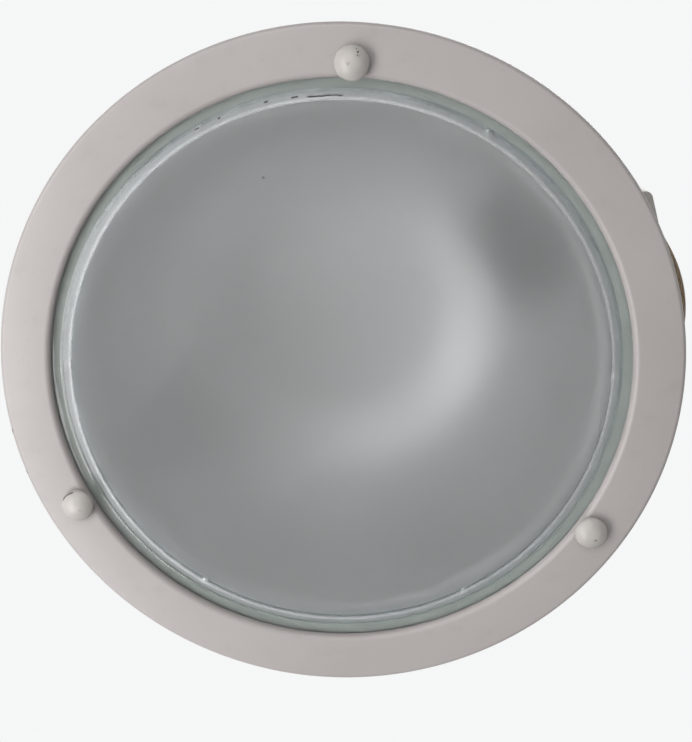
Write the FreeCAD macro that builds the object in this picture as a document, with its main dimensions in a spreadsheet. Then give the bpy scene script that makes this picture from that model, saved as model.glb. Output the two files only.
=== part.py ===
import FreeCAD, Part
import math
import os
import Sketcher

# Round recessed ceiling light for two screw-cap lamps.
# Frame: the ceiling's underside is z = 0, +Z goes up into the ceiling, the ring's axis is the Z axis.
# The view from below has +X to the right and -Y upwards.

doc = FreeCAD.newDocument("RecessedLight")
sheet = doc.addObject("Spreadsheet::Sheet", "Sheet")

sizes = [
    ("ringOuterRadius", 115.0),
    ("ringFaceWidth", 17.0),
    ("ringSheet", 1.2),
    ("ringEdgeRadius", 2.5),
    ("ringRollRadius", 2.0),
    ("ringLipHeight", 2.8),
    ("collarInset", 8.4),
    ("studHeadGap", 0.25),
    ("studAngle", 272.4),
    ("studRadius", 2.0),
    ("studHeadRadius", 2.75),
    ("studHeadHeight", 1.4),
    ("studGrip", 3.6),
    ("ringHoleClearance", 0.3),
    ("threadClearance", 0.05),
    ("washerRadius", 4.6),
    ("washerThickness", 0.8),
    ("knobRadius", 5.6),
    ("knobSkirtHeight", 2.2),
    ("knobDomeHeight", 3.4),
    ("knobBoreSpare", 0.6),
    ("glassStudGap", 0.5),
    ("glassFlangeThickness", 3.0),
    ("glassMargin", 3.2),
    ("glassStepWidth", 3.2),
    ("glassStepHeight", 1.0),
    ("glassStepRound", 0.6),
    ("gasketInset", 1.5),
    ("gasketThickness", 1.2),
    ("housingFlangeWidth", 16.1),
    ("housingSheet", 1.0),
    ("housingWallHeight", 8.0),
    ("reflectorRivetLand", 4.5),
    ("reflectorRimWidth", 7.0),
    ("reflectorMouthInset", 1.6),
    ("reflectorTaper", 18.9),
    ("reflectorHeight", 86.0),
    ("reflectorSheet", 0.9),
    ("reflectorCornerRadius", 28.0),
    ("rivetRadius", 1.2),
    ("rivetHeadRadius", 1.7),
    ("rivetHeadHeight", 0.8),
    ("lampAngle", 331.0),
    ("lampTrayGap", 4.0),
    ("lampholderRadius", 19.0),
    ("lampholderNeckRadius", 16.0),
    ("lampholderLength", 39.2),
    ("lampholderRearLength", 12.0),
    ("lampholderChamfer", 1.5),
    ("lampholderShoulder", 2.0),
    ("lampOpeningClearance", 2.0),
    ("bracketGap", 0.7),
    ("bracketSheet", 1.2),
    ("bracketWidth", 40.0),
    ("bracketTrayGap", 2.0),
    ("bracketFootLength", 4.0),
    ("bracketFootWidth", 11.0),
    ("bracketFootGap", 16.0),
    ("socketRadius", 13.3),
    ("socketShell", 0.5),
    ("socketShellClearance", 0.1),
    ("socketShellSet", 2.0),
    ("socketFloorGap", 3.2),
    ("contactRadius", 3.5),
    ("contactHeight", 3.0),
    ("contactFlange", 2.5),
    ("contactPlate", 0.8),
    ("contactChamfer", 1.0),
    ("nippleRadius", 5.0),
    ("nippleBore", 3.4),
    ("nippleDepth", 8.0),
    ("nippleBeyond", 5.0),
    ("nutAcrossCorners", 16.2),
    ("nutThickness", 3.5),
    ("loopLeadRadius", 3.0),
    ("loopLeadPlug", 1.0),
    ("loopLeadLeave", 0.6),
    ("loopLeadBend", 12.0),
    ("loopLeadBendTurn", 58.0),
    ("loopLeadSwing", 42.0),
    ("loopLeadReturn", 15.0),
    ("loopLeadInset", 3.2),
    ("feedLeadRadius", 2.6),
    ("leadClearance", 0.1),
    ("feedInset", 4.7),
    ("feedSide", 8.0),
    ("feedDepth", 5.0),
    ("feedBend", 5.0),
    ("trayAngle", 344.0),
    ("trayBowlGap", 14.0),
    ("trayLength", 43.6),
    ("trayLow", -18.0),
    ("trayWidth", 58.0),
    ("traySheet", 1.0),
    ("trayCornerRadius", 3.0),
    ("trayLip", 8.0),
    ("strapSheet", 1.5),
    ("strapWidth", 34.0),
    ("strapTail", 28.0),
    ("strapFlap", 16.0),
    ("strapRivetSpread", 15.0),
    ("flapRivetSpread", 9.0),
    ("screwRadius", 1.5),
    ("screwHeadRadius", 2.8),
    ("screwHeadHeight", 2.0),
    ("screwLength", 6.0),
    ("blockInset", 2.0),
    ("blockLength", 17.0),
    ("blockHeight", 15.0),
    ("blockStart", -2.0),
    ("blockPitch", 10.0),
    ("wireHoleRadius", 2.0),
    ("wireHoleRise", 5.0),
    ("terminalScrewRadius", 1.6),
    ("terminalScrewDepth", 5.0),
    ("terminalScrewSunk", 1.0),
    ("inletSide", 18.0),
    ("inletBore", 4.5),
    ("grommetNeckRadius", 6.0),
    ("grommetFlangeRadius", 8.0),
    ("grommetFlange", 2.0),
    ("grommetChamfer", 1.0),
    ("grommetGap", 1.5),
    ("gripInset", 15.6),
    ("gripLength", 7.0),
    ("gripWidth", 28.0),
    ("gripWall", 1.5),
    ("gripScrewSpread", 9.5),
    ("earthInset", 9.6),
    ("earthSide", -9.0),
    ("clampAngle", 61.0),
    ("clampGlassGap", 0.3),
    ("clampScrewRadius", 1.5),
    ("clampHeadRadius", 2.6),
    ("clampHeadHeight", 2.2),
    ("clampSlotWidth", 1.0),
    ("clampHoleClearance", 0.1),
    ("clampScrewLength", 36.0),
    ("clampLift", 4.5),
    ("clampBushRadius", 2.4),
    ("clampBushClearance", 0.1),
    ("clampFlangeRadius", 3.4),
    ("clampFlangeHeight", 1.5),
    ("dogHeight", 7.0),
    ("dogBossRadius", 3.4),
    ("dogArmLength", 13.0),
    ("dogRestTurn", 102.0),
]
for row, (alias, value) in enumerate(sizes, start=1):
    sheet.set("A%d" % row, alias)
    sheet.set("B%d" % row, str(value))
    sheet.setAlias("B%d" % row, alias)
doc.recompute()


def cell(alias):
    return "Sheet." + alias


def value(expression):
    return float(sheet.evalExpression(expression))


# Heights that follow from the stack of ring, glass, gasket and pan.
stackDepth = "(Sheet.ringLipHeight + Sheet.glassFlangeThickness + Sheet.gasketThickness)"
ringFace = "(-" + stackDepth + ")"
lipEnd = "(" + ringFace + " + Sheet.ringLipHeight)"
glassBack = "(-Sheet.gasketThickness)"
knobSeat = "(" + ringFace + " - Sheet.washerThickness)"
panTop = "Sheet.housingSheet"

# Radii that follow from the ring's outer edge, from the outside inwards.
ringInner = "(Sheet.ringOuterRadius - Sheet.ringFaceWidth)"
collar = "(Sheet.ringOuterRadius - Sheet.collarInset)"
studCircle = "(" + collar + " - Sheet.housingSheet - Sheet.studHeadGap - Sheet.studHeadRadius)"
glassRadius = "(" + studCircle + " - Sheet.studRadius - Sheet.glassStudGap)"
clampCircle = "(" + glassRadius + " + Sheet.clampGlassGap + Sheet.clampHeadRadius)"
stepOuter = "(" + ringInner + " - Sheet.glassMargin)"
stepInner = "(" + stepOuter + " - Sheet.glassStepWidth)"
housingInner = "(" + collar + " - Sheet.housingFlangeWidth)"
gasketInner = "(" + housingInner + " + Sheet.reflectorRivetLand)"
gasketOuter = "(" + glassRadius + " - Sheet.gasketInset)"
rivetCircle = "(" + housingInner + " + Sheet.reflectorRivetLand / 2)"
rimRadius = "(" + housingInner + " + Sheet.reflectorRimWidth)"
mouthRadius = "(" + housingInner + " - Sheet.reflectorMouthInset)"
topRadius = "(" + mouthRadius + " - Sheet.reflectorTaper)"

# Bowl, tray and lampholders, each set off from the one before.
bowlTop = "(Sheet.housingSheet + Sheet.reflectorHeight)"
bowlInside = "(" + bowlTop + " - Sheet.reflectorSheet)"
trayTop = bowlTop
inletRise = "(Sheet.grommetFlangeRadius + Sheet.grommetGap)"
trayBase = "(" + trayTop + " - 2 * Sheet.traySheet - 2 * " + inletRise + ")"
trayFloor = "(" + trayBase + " + Sheet.traySheet)"
trayInner = "(" + topRadius + " + Sheet.trayBowlGap)"
trayEnd = "(" + trayInner + " + Sheet.trayLength)"
trayMiddle = "(Sheet.trayLow + Sheet.trayWidth / 2)"
inletHeight = "(" + trayFloor + " + " + inletRise + ")"
lampHeight = "(" + trayBase + " - Sheet.lampTrayGap - Sheet.lampholderRadius)"
bracketStart = "(" + rimRadius + " + Sheet.bracketGap)"
bracketBack = "(" + bracketStart + " + Sheet.bracketSheet)"
bracketHeight = "(" + trayBase + " - Sheet.bracketTrayGap - " + panTop + ")"
mouth = "(" + bracketStart + " - Sheet.lampholderLength)"
socketFloor = "(" + bracketStart + " - Sheet.lampholderRearLength)"
shellOutside = "(Sheet.socketRadius + Sheet.socketShell)"
feedAlong = "(" + bracketStart + " - Sheet.feedInset)"
clampGrip = "(Sheet.housingWallHeight + Sheet.clampLift)"
lampAngles = {"a": "Sheet.lampAngle", "b": "(Sheet.lampAngle - 180)"}
studAngles = {1: "Sheet.studAngle", 2: "(Sheet.studAngle - 120)", 3: "(Sheet.studAngle - 240)"}
clampAngles = {1: "Sheet.clampAngle", 2: "(Sheet.clampAngle + 180)"}
nodes = []


def keep(obj):
    nodes.append(obj)
    return obj


def setPlace(obj, x="0", y="0", z="0", angle="0"):
    # x and y lie in a frame that is turned by the angle about the Z axis.
    east = "(%s) * cos(%s) - (%s) * sin(%s)" % (x, angle, y, angle)
    north = "(%s) * sin(%s) + (%s) * cos(%s)" % (x, angle, y, angle)
    spot = "vector(1 mm * (%s); 1 mm * (%s); 1 mm * (%s))" % (east, north, z)
    turn = "rotation(vector(0; 0; 1); %s)" % angle
    obj.setExpression("Placement", "placement(%s; %s)" % (spot, turn))
    return obj


def addBody(name):
    return doc.addObject("PartDesign::Body", name)


def originPlane(body, role):
    return [item for item in body.Origin.OriginFeatures if item.Role == role][0]


def addProfile(body, name, role, corners):
    sketch = body.newObject("Sketcher::SketchObject", name)
    sketch.AttachmentSupport = (originPlane(body, role), [""])
    sketch.MapMode = "FlatFace"
    spots = [FreeCAD.Vector(value(across), value(up), 0) for across, up in corners]
    count = len(spots)
    for index in range(count):
        sketch.addGeometry(Part.LineSegment(spots[index], spots[(index + 1) % count]), False)
    for index in range(count):
        sketch.addConstraint(Sketcher.Constraint("Coincident", index, 2, (index + 1) % count, 1))
    for index, (across, up) in enumerate(corners):
        measures = [("DistanceX", across, spots[index].x), ("DistanceY", up, spots[index].y)]
        for kind, expression, amount in measures:
            number = sketch.addConstraint(Sketcher.Constraint(kind, -1, 1, index, 1, amount))
            sketch.setExpression("Constraints[%d]" % number, expression)
    return sketch


def revolve(name, corners, axis="V_Axis", role="XZ_Plane"):
    body = addBody(name)
    sketch = addProfile(body, name + "_profile", role, corners)
    feature = body.newObject("PartDesign::Revolution", name + "_turned")
    feature.Profile = sketch
    feature.ReferenceAxis = (sketch, [axis])
    feature.Angle = 360
    doc.recompute()
    return body


def revolveAlong(name, corners):
    return revolve(name, corners, axis="H_Axis", role="XY_Plane")


def roundCircles(body, name, radius, circles):
    # Rounds the circular edges given as pairs of radius and height.
    found = []
    for wantedRadius, wantedHeight in circles:
        for number, edge in enumerate(body.Shape.Edges, start=1):
            curve = edge.Curve
            if not isinstance(curve, Part.Circle):
                continue
            if abs(curve.Radius - value(wantedRadius)) > 1e-4:
                continue
            if abs(curve.Center.z - value(wantedHeight)) < 1e-4:
                found.append("Edge%d" % number)
    base = body.Tip
    feature = body.newObject("PartDesign::Fillet", name)
    feature.Base = (base, found)
    feature.Radius = value(radius)
    feature.setExpression("Radius", radius)
    body.Tip = feature
    doc.recompute()


def addCylinder(name, radius, height, x="0", y="0", z="0", angle="0"):
    cylinder = doc.addObject("Part::Cylinder", name)
    cylinder.setExpression("Radius", radius)
    cylinder.setExpression("Height", height)
    return setPlace(cylinder, x, y, z, angle)


def addRod(name, radius, height, x="0", y="0", z="0"):
    # A cylinder that lies along X.
    rod = doc.addObject("Part::Cylinder", name)
    rod.setExpression("Radius", radius)
    rod.setExpression("Height", height)
    spot = "vector(1 mm * (%s); 1 mm * (%s); 1 mm * (%s))" % (x, y, z)
    rod.setExpression("Placement", "placement(%s; rotation(vector(0; 1; 0); 90))" % spot)
    return rod


def addBox(name, x, y, z, length, width, height, angle="0"):
    box = doc.addObject("Part::Box", name)
    box.setExpression("Length", length)
    box.setExpression("Width", width)
    box.setExpression("Height", height)
    return setPlace(box, x, y, z, angle)


def fuse(name, pieces):
    joined = doc.addObject("Part::MultiFuse", name)
    joined.Shapes = pieces
    return joined


def cut(name, base, tools):
    result = doc.addObject("Part::Cut", name)
    result.Base = base
    result.Tool = tools[0] if len(tools) == 1 else fuse(name + "_tools", tools)
    return result


def addRivet(name, x, y, low, high, angle="0"):
    # Upright rivet: a shank between two flat heads.
    shank = addCylinder(name + "_shank", cell("rivetRadius"), "(%s) - (%s)" % (high, low), x, y, low, angle)
    lowSeat = "(%s) - Sheet.rivetHeadHeight" % low
    below = addCylinder(name + "_below", cell("rivetHeadRadius"), cell("rivetHeadHeight"),
                        x, y, lowSeat, angle)
    above = addCylinder(name + "_above", cell("rivetHeadRadius"), cell("rivetHeadHeight"), x, y, high, angle)
    return [shank, below, above]


def rivetHole(name, x, y, low, high, angle="0"):
    return addCylinder(name, cell("rivetRadius"), "(%s) - (%s)" % (high, low), x, y, low, angle)


def addScrew(name, x, y, seat, length, angle="0"):
    # Upright pan-head screw whose head rests on the seat.
    shankLow = "(%s) - (%s)" % (seat, length)
    shank = addCylinder(name + "_shank", cell("screwRadius"), length, x, y, shankLow, angle)
    head = addCylinder(name + "_head", cell("screwHeadRadius"), cell("screwHeadHeight"), x, y, seat, angle)
    return [shank, head]


# Trim ring: pressed sheet with a rounded outer edge, a flat face and a rolled inner edge.
ringBody = revolve("trim_ring_blank", [
    (cell("ringOuterRadius"), "0"),
    (cell("ringOuterRadius"), ringFace),
    (ringInner, ringFace),
    (ringInner, lipEnd),
    (ringInner + " + Sheet.ringSheet", lipEnd),
    (ringInner + " + Sheet.ringSheet", ringFace + " + Sheet.ringSheet"),
    ("Sheet.ringOuterRadius - Sheet.ringSheet", ringFace + " + Sheet.ringSheet"),
    ("Sheet.ringOuterRadius - Sheet.ringSheet", "0"),
])
roundCircles(ringBody, "ringEdge", cell("ringEdgeRadius"), [(cell("ringOuterRadius"), ringFace)])
roundCircles(ringBody, "ringEdgeInside", "Sheet.ringEdgeRadius - Sheet.ringSheet", [
    ("Sheet.ringOuterRadius - Sheet.ringSheet", ringFace + " + Sheet.ringSheet"),
])
roundCircles(ringBody, "ringRoll", cell("ringRollRadius"), [(ringInner, ringFace)])
roundCircles(ringBody, "ringRollInside", "Sheet.ringRollRadius - Sheet.ringSheet", [
    (ringInner + " + Sheet.ringSheet", ringFace + " + Sheet.ringSheet"),
])
ringHoles = []
for number, angle in studAngles.items():
    hole = addCylinder("ringHole%d" % number, "Sheet.studRadius + Sheet.ringHoleClearance",
                       stackDepth, studCircle, "0", ringFace, angle)
    ringHoles.append(hole)
keep(cut("trim_ring", ringBody, ringHoles))

# Pressed glass: a flange under the ring's lip and a raised frosted middle with a bevelled step.
glassBody = revolve("glass_disc", [
    ("0", lipEnd + " - Sheet.glassStepHeight"),
    (stepInner, lipEnd + " - Sheet.glassStepHeight"),
    (stepOuter, lipEnd),
    (glassRadius, lipEnd),
    (glassRadius, glassBack),
    ("0", glassBack),
])
roundCircles(glassBody, "glassStep", cell("glassStepRound"), [
    (stepInner, lipEnd + " - Sheet.glassStepHeight"),
    (stepOuter, lipEnd),
])
keep(glassBody)

# Silicone gasket between the glass and the pan.
keep(revolve("glass_gasket", [
    (gasketInner, glassBack),
    (gasketOuter, glassBack),
    (gasketOuter, "0"),
    (gasketInner, "0"),
]))

# Pan: a flat flange with an upturned collar that goes into the ceiling's cut-out.
housingBody = revolve("housing_ring_blank", [
    (housingInner, "0"),
    (collar, "0"),
    (collar, cell("housingWallHeight")),
    (collar + " - Sheet.housingSheet", cell("housingWallHeight")),
    (collar + " - Sheet.housingSheet", panTop),
    (housingInner, panTop),
])
footRow = "(" + bracketBack + " + Sheet.bracketFootLength / 2)"
footSide = "(Sheet.bracketFootGap / 2 + Sheet.bracketFootWidth / 2)"
reflectorRivetAngles = ["Sheet.lampAngle + %d" % turn for turn in (30, 90, 150, 210, 270, 330)]
housingHoles = []
for number, angle in studAngles.items():
    housingHoles.append(addCylinder("housingStudHole%d" % number, cell("studRadius"), panTop,
                                    studCircle, "0", "0", angle))
for number, angle in clampAngles.items():
    housingHoles.append(addCylinder("housingClampHole%d" % number,
                                    "Sheet.clampScrewRadius + Sheet.clampHoleClearance", panTop,
                                    clampCircle, "0", "0", angle))
for number, angle in enumerate(reflectorRivetAngles):
    housingHoles.append(rivetHole("housingRivetHole%d" % number, rivetCircle, "0",
                                  "0", panTop, angle))
for side, angle in lampAngles.items():
    for sign in ("-", ""):
        name = "housingFootHole_%s_%d" % (side, len(sign))
        housingHoles.append(rivetHole(name, footRow, sign + footSide, "0", panTop, angle))
keep(cut("housing_ring", housingBody, housingHoles))

# Studs pressed into the pan, knob washers and domed knobs.
sphereRadius = "((Sheet.knobRadius ^ 2 + Sheet.knobDomeHeight ^ 2) / (2 * Sheet.knobDomeHeight))"
knobEnd = "(" + knobSeat + " - Sheet.knobSkirtHeight - Sheet.knobDomeHeight)"
studEnd = "(" + knobSeat + " - Sheet.studGrip)"
for number, angle in studAngles.items():
    spot = (studCircle, "0")
    shank = addCylinder("studShank%d" % number, cell("studRadius"), panTop + " - " + studEnd,
                        spot[0], spot[1], studEnd, angle)
    head = addCylinder("studHead%d" % number, cell("studHeadRadius"), cell("studHeadHeight"),
                       spot[0], spot[1], panTop, angle)
    keep(fuse("stud_%d" % number, [shank, head]))
    disc = addCylinder("washerDisc%d" % number, cell("washerRadius"), cell("washerThickness"),
                       spot[0], spot[1], knobSeat, angle)
    eye = addCylinder("washerEye%d" % number, "Sheet.studRadius + Sheet.ringHoleClearance",
                      cell("washerThickness"), spot[0], spot[1], knobSeat, angle)
    keep(cut("knob_washer_%d" % number, disc, [eye]))
    blank = addCylinder("knobBlank%d" % number, cell("knobRadius"), knobSeat + " - " + knobEnd,
                        spot[0], spot[1], knobEnd, angle)
    ball = doc.addObject("Part::Sphere", "knobBall%d" % number)
    ball.setExpression("Radius", sphereRadius)
    setPlace(ball, spot[0], spot[1], knobEnd + " + " + sphereRadius, angle)
    skirt = addCylinder("knobSkirt%d" % number, cell("knobRadius"), cell("knobSkirtHeight"),
                        spot[0], spot[1], knobSeat + " - Sheet.knobSkirtHeight", angle)
    dome = doc.addObject("Part::Common", "knobDome%d" % number)
    dome.Base = blank
    dome.Tool = ball
    form = fuse("knobForm%d" % number, [dome, skirt])
    boreDepth = "(Sheet.studGrip + Sheet.knobBoreSpare)"
    bore = addCylinder("knobBore%d" % number, "Sheet.studRadius + Sheet.threadClearance", boreDepth,
                       spot[0], spot[1], knobSeat + " - " + boreDepth, angle)
    keep(cut("knob_%d" % number, form, [bore]))

# Reflector: a spun bowl with a rim flange, a rounded shoulder and two openings for the lampholders.
reflectorBody = revolve("reflector_blank", [
    ("0", bowlTop),
    ("0", bowlInside),
    (topRadius + " - Sheet.reflectorSheet", bowlInside),
    (mouthRadius + " - Sheet.reflectorSheet", panTop),
    (rimRadius, panTop),
    (rimRadius, panTop + " + Sheet.reflectorSheet"),
    (mouthRadius, panTop + " + Sheet.reflectorSheet"),
    (topRadius, bowlTop),
])
roundCircles(reflectorBody, "bowlShoulder", cell("reflectorCornerRadius"), [
    (topRadius, bowlTop),
])
roundCircles(reflectorBody, "bowlShoulderInside", "Sheet.reflectorCornerRadius - Sheet.reflectorSheet", [
    (topRadius + " - Sheet.reflectorSheet", bowlInside),
])
openingRadius = "(Sheet.lampholderRadius + Sheet.lampOpeningClearance)"
opening = addRod("lampOpenings", openingRadius, "2 * " + rimRadius,
                 "-" + rimRadius, "0", lampHeight)
bowl = setPlace(reflectorBody, angle="0")
strapRivetSpots = [("-Sheet.strapRivetSpread", trayMiddle), (cell("strapRivetSpread"), trayMiddle)]
reflectorHoles = [opening]
for number, angle in enumerate(reflectorRivetAngles):
    turn = angle + " - Sheet.lampAngle"
    reflectorHoles.append(rivetHole("reflectorRivetHole%d" % number, rivetCircle, "0",
                                    panTop, panTop + " + Sheet.reflectorSheet", turn))
for number, (x, y) in enumerate(strapRivetSpots):
    reflectorHoles.append(rivetHole("reflectorStrapHole%d" % number, x, y, bowlInside, bowlTop,
                                    "(Sheet.trayAngle - Sheet.lampAngle)"))
reflector = keep(cut("reflector", bowl, reflectorHoles))
setPlace(reflector, angle=cell("lampAngle"))

rivets = []
for number, angle in enumerate(reflectorRivetAngles):
    rivets += addRivet("reflectorRivet%d" % number, rivetCircle, "0", "0",
                       panTop + " + Sheet.reflectorSheet", angle)
keep(fuse("reflector_rivets", rivets))

# Lampholders: a moulded skirt and cap on a bracket, a screw shell, a centre contact, a nipple and its nut.
for side, angle in lampAngles.items():
    skirt = keep(revolveAlong("lampholder_body_%s" % side, [
        (mouth, shellOutside + " + Sheet.socketShellClearance"),
        (mouth, "Sheet.lampholderRadius - Sheet.lampholderChamfer"),
        (mouth + " + Sheet.lampholderChamfer", cell("lampholderRadius")),
        (socketFloor, cell("lampholderRadius")),
        (socketFloor, shellOutside + " + Sheet.socketShellClearance"),
    ]))
    setPlace(skirt, z=lampHeight, angle=angle)
    nippleStart = "(" + bracketStart + " - Sheet.nippleDepth)"
    capForm = revolveAlong("lampholder_cap_%s_blank" % side, [
        (socketFloor, cell("loopLeadRadius")),
        (socketFloor, cell("lampholderRadius")),
        (socketFloor + " + Sheet.lampholderShoulder", cell("lampholderRadius")),
        (socketFloor + " + 2 * Sheet.lampholderShoulder", cell("lampholderNeckRadius")),
        (bracketStart, cell("lampholderNeckRadius")),
        (bracketStart, "Sheet.nippleRadius + Sheet.threadClearance"),
        (nippleStart, "Sheet.nippleRadius + Sheet.threadClearance"),
        (nippleStart, cell("loopLeadRadius")),
    ])
    entryFloor = "(sqrt(Sheet.lampholderNeckRadius ^ 2 - Sheet.feedSide ^ 2) - Sheet.feedDepth)"
    entry = addCylinder("leadEntry_%s" % side, "Sheet.feedLeadRadius + Sheet.leadClearance",
                        cell("lampholderRadius"), feedAlong, cell("feedSide"), entryFloor)
    cap = keep(cut("lampholder_cap_%s" % side, capForm, [entry]))
    setPlace(cap, z=lampHeight, angle=angle)
    shellStart = "(" + mouth + " + Sheet.socketShellSet)"
    shellEnd = "(" + socketFloor + " - Sheet.socketFloorGap)"
    shell = keep(revolveAlong("lampholder_shell_%s" % side, [
        (shellStart, cell("socketRadius")),
        (shellStart, shellOutside),
        (shellEnd, shellOutside),
        (shellEnd, cell("socketRadius")),
    ]))
    setPlace(shell, z=lampHeight, angle=angle)
    plateFace = "(" + socketFloor + " - Sheet.contactPlate)"
    contactTip = "(" + socketFloor + " - Sheet.contactHeight)"
    contact = keep(revolveAlong("lampholder_contact_%s" % side, [
        (socketFloor, "0"),
        (socketFloor, "Sheet.contactRadius + Sheet.contactFlange"),
        (plateFace, "Sheet.contactRadius + Sheet.contactFlange"),
        (plateFace, cell("contactRadius")),
        (contactTip + " + Sheet.contactChamfer", cell("contactRadius")),
        (contactTip, "Sheet.contactRadius - Sheet.contactChamfer"),
        (contactTip, "0"),
    ]))
    setPlace(contact, z=lampHeight, angle=angle)
    nippleEnd = "(" + bracketBack + " + Sheet.nippleBeyond)"
    nipple = keep(revolveAlong("lampholder_nipple_%s" % side, [
        (nippleStart, cell("nippleBore")),
        (nippleStart, cell("nippleRadius")),
        (nippleEnd, cell("nippleRadius")),
        (nippleEnd, cell("nippleBore")),
    ]))
    setPlace(nipple, z=lampHeight, angle=angle)
    plate = addBox("bracketPlate_%s" % side, bracketStart, "-Sheet.bracketWidth / 2", panTop,
                   cell("bracketSheet"), cell("bracketWidth"), bracketHeight)
    footReach = "Sheet.bracketSheet + Sheet.bracketFootLength"
    lowFoot = addBox("bracketFootLow_%s" % side, bracketStart,
                     "-(Sheet.bracketFootGap / 2 + Sheet.bracketFootWidth)", panTop,
                     footReach, cell("bracketFootWidth"), cell("bracketSheet"))
    highFoot = addBox("bracketFootHigh_%s" % side, bracketStart, "Sheet.bracketFootGap / 2", panTop,
                      footReach, cell("bracketFootWidth"), cell("bracketSheet"))
    bracketForm = fuse("bracketForm_%s" % side, [plate, lowFoot, highFoot])
    bracketHoles = [addRod("bracketHole_%s" % side, "Sheet.nippleRadius + Sheet.threadClearance",
                           cell("bracketSheet"), bracketStart, "0", lampHeight)]
    for sign in ("-", ""):
        bracketHoles.append(rivetHole("bracketRivetHole_%s_%d" % (side, len(sign)), footRow, sign + footSide,
                                      panTop, panTop + " + Sheet.bracketSheet"))
    bracket = keep(cut("lampholder_bracket_%s" % side, bracketForm, bracketHoles))
    setPlace(bracket, angle=angle)
    prism = doc.addObject("Part::Prism", "nutPrism_%s" % side)
    prism.Polygon = 6
    prism.setExpression("Circumradius", "Sheet.nutAcrossCorners / 2")
    prism.setExpression("Height", cell("nutThickness"))
    nutSpot = "vector(1 mm * %s; 0 mm; 1 mm * %s)" % (bracketBack, lampHeight)
    prism.setExpression("Placement", "placement(%s; rotation(vector(0; 1; 0); 90))" % nutSpot)
    nutBore = addRod("nutBore_%s" % side, "Sheet.nippleRadius + Sheet.threadClearance", cell("nutThickness"),
                     bracketBack, "0", lampHeight)
    nut = keep(cut("lampholder_nut_%s" % side, prism, [nutBore]))
    setPlace(nut, angle=angle)

rivets = []
for side, angle in lampAngles.items():
    for sign in ("-", ""):
        rivets += addRivet("bracketRivet_%s_%d" % (side, len(sign)), footRow, sign + footSide, "0",
                           panTop + " + Sheet.bracketSheet", angle)
keep(fuse("bracket_rivets", rivets))

# Strap over the bowl that carries the gear tray out to one side.
strapLow = "(" + trayMiddle + " - Sheet.strapWidth / 2)"
flapStart = "(" + trayInner + " - Sheet.strapSheet)"
flat = addBox("strapFlat", "-Sheet.strapTail", strapLow, bowlTop,
              "Sheet.strapTail + " + trayInner, cell("strapWidth"), cell("strapSheet"))
flap = addBox("strapFlapPlate", flapStart, strapLow, bowlTop + " - Sheet.strapFlap",
              cell("strapSheet"), cell("strapWidth"), cell("strapFlap"))
strapForm = fuse("strapForm", [flat, flap])
flapRivetHeight = "(" + bowlTop + " - Sheet.strapFlap / 2)"
strapHoles = []
for number, (x, y) in enumerate(strapRivetSpots):
    strapHoles.append(rivetHole("strapHole%d" % number, x, y, bowlTop, bowlTop + " + Sheet.strapSheet"))
flapRivetSpots = [trayMiddle + " - Sheet.flapRivetSpread", trayMiddle + " + Sheet.flapRivetSpread"]
for number, y in enumerate(flapRivetSpots):
    strapHoles.append(addRod("flapHole%d" % number, cell("rivetRadius"), cell("strapSheet"),
                             flapStart, y, flapRivetHeight))
strap = keep(cut("gear_strap", strapForm, strapHoles))
setPlace(strap, angle=cell("trayAngle"))

rivets = []
for number, (x, y) in enumerate(strapRivetSpots):
    rivets += addRivet("strapRivet%d" % number, x, y, bowlInside, bowlTop + " + Sheet.strapSheet")
for number, y in enumerate(flapRivetSpots):
    grip = "(Sheet.strapSheet + Sheet.traySheet)"
    rivets.append(addRod("flapRivetShank%d" % number, cell("rivetRadius"), grip,
                         flapStart, y, flapRivetHeight))
    rivets.append(addRod("flapRivetNear%d" % number, cell("rivetHeadRadius"), cell("rivetHeadHeight"),
                         flapStart + " - Sheet.rivetHeadHeight", y, flapRivetHeight))
    rivets.append(addRod("flapRivetFar%d" % number, cell("rivetHeadRadius"), cell("rivetHeadHeight"),
                         flapStart + " + " + grip, y, flapRivetHeight))
strapRivets = keep(fuse("strap_rivets", rivets))
setPlace(strapRivets, angle=cell("trayAngle"))

# Gear tray: a folded box with rounded corners and two lips for the lid's screws.
trayOutline = [
    (trayInner, cell("trayLow")),
    (trayEnd, cell("trayLow")),
    (trayEnd, "Sheet.trayLow + Sheet.trayWidth"),
    (trayInner, "Sheet.trayLow + Sheet.trayWidth"),
]


def roundedPlate(name, height, low):
    body = addBody(name)
    sketch = addProfile(body, name + "_outline", "XY_Plane", trayOutline)
    pad = body.newObject("PartDesign::Pad", name + "_pad")
    pad.Profile = sketch
    pad.Length = value(height)
    pad.setExpression("Length", height)
    doc.recompute()
    upright = []
    for number, edge in enumerate(body.Shape.Edges, start=1):
        ends = [vertex.Point for vertex in edge.Vertexes]
        if abs(ends[0].x - ends[1].x) < 1e-6 and abs(ends[0].y - ends[1].y) < 1e-6:
            upright.append("Edge%d" % number)
    corner = body.newObject("PartDesign::Fillet", name + "_corners")
    corner.Base = (pad, upright)
    corner.Radius = value("Sheet.trayCornerRadius")
    corner.setExpression("Radius", "Sheet.trayCornerRadius")
    body.Tip = corner
    doc.recompute()
    return setPlace(body, z=low)


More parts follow.
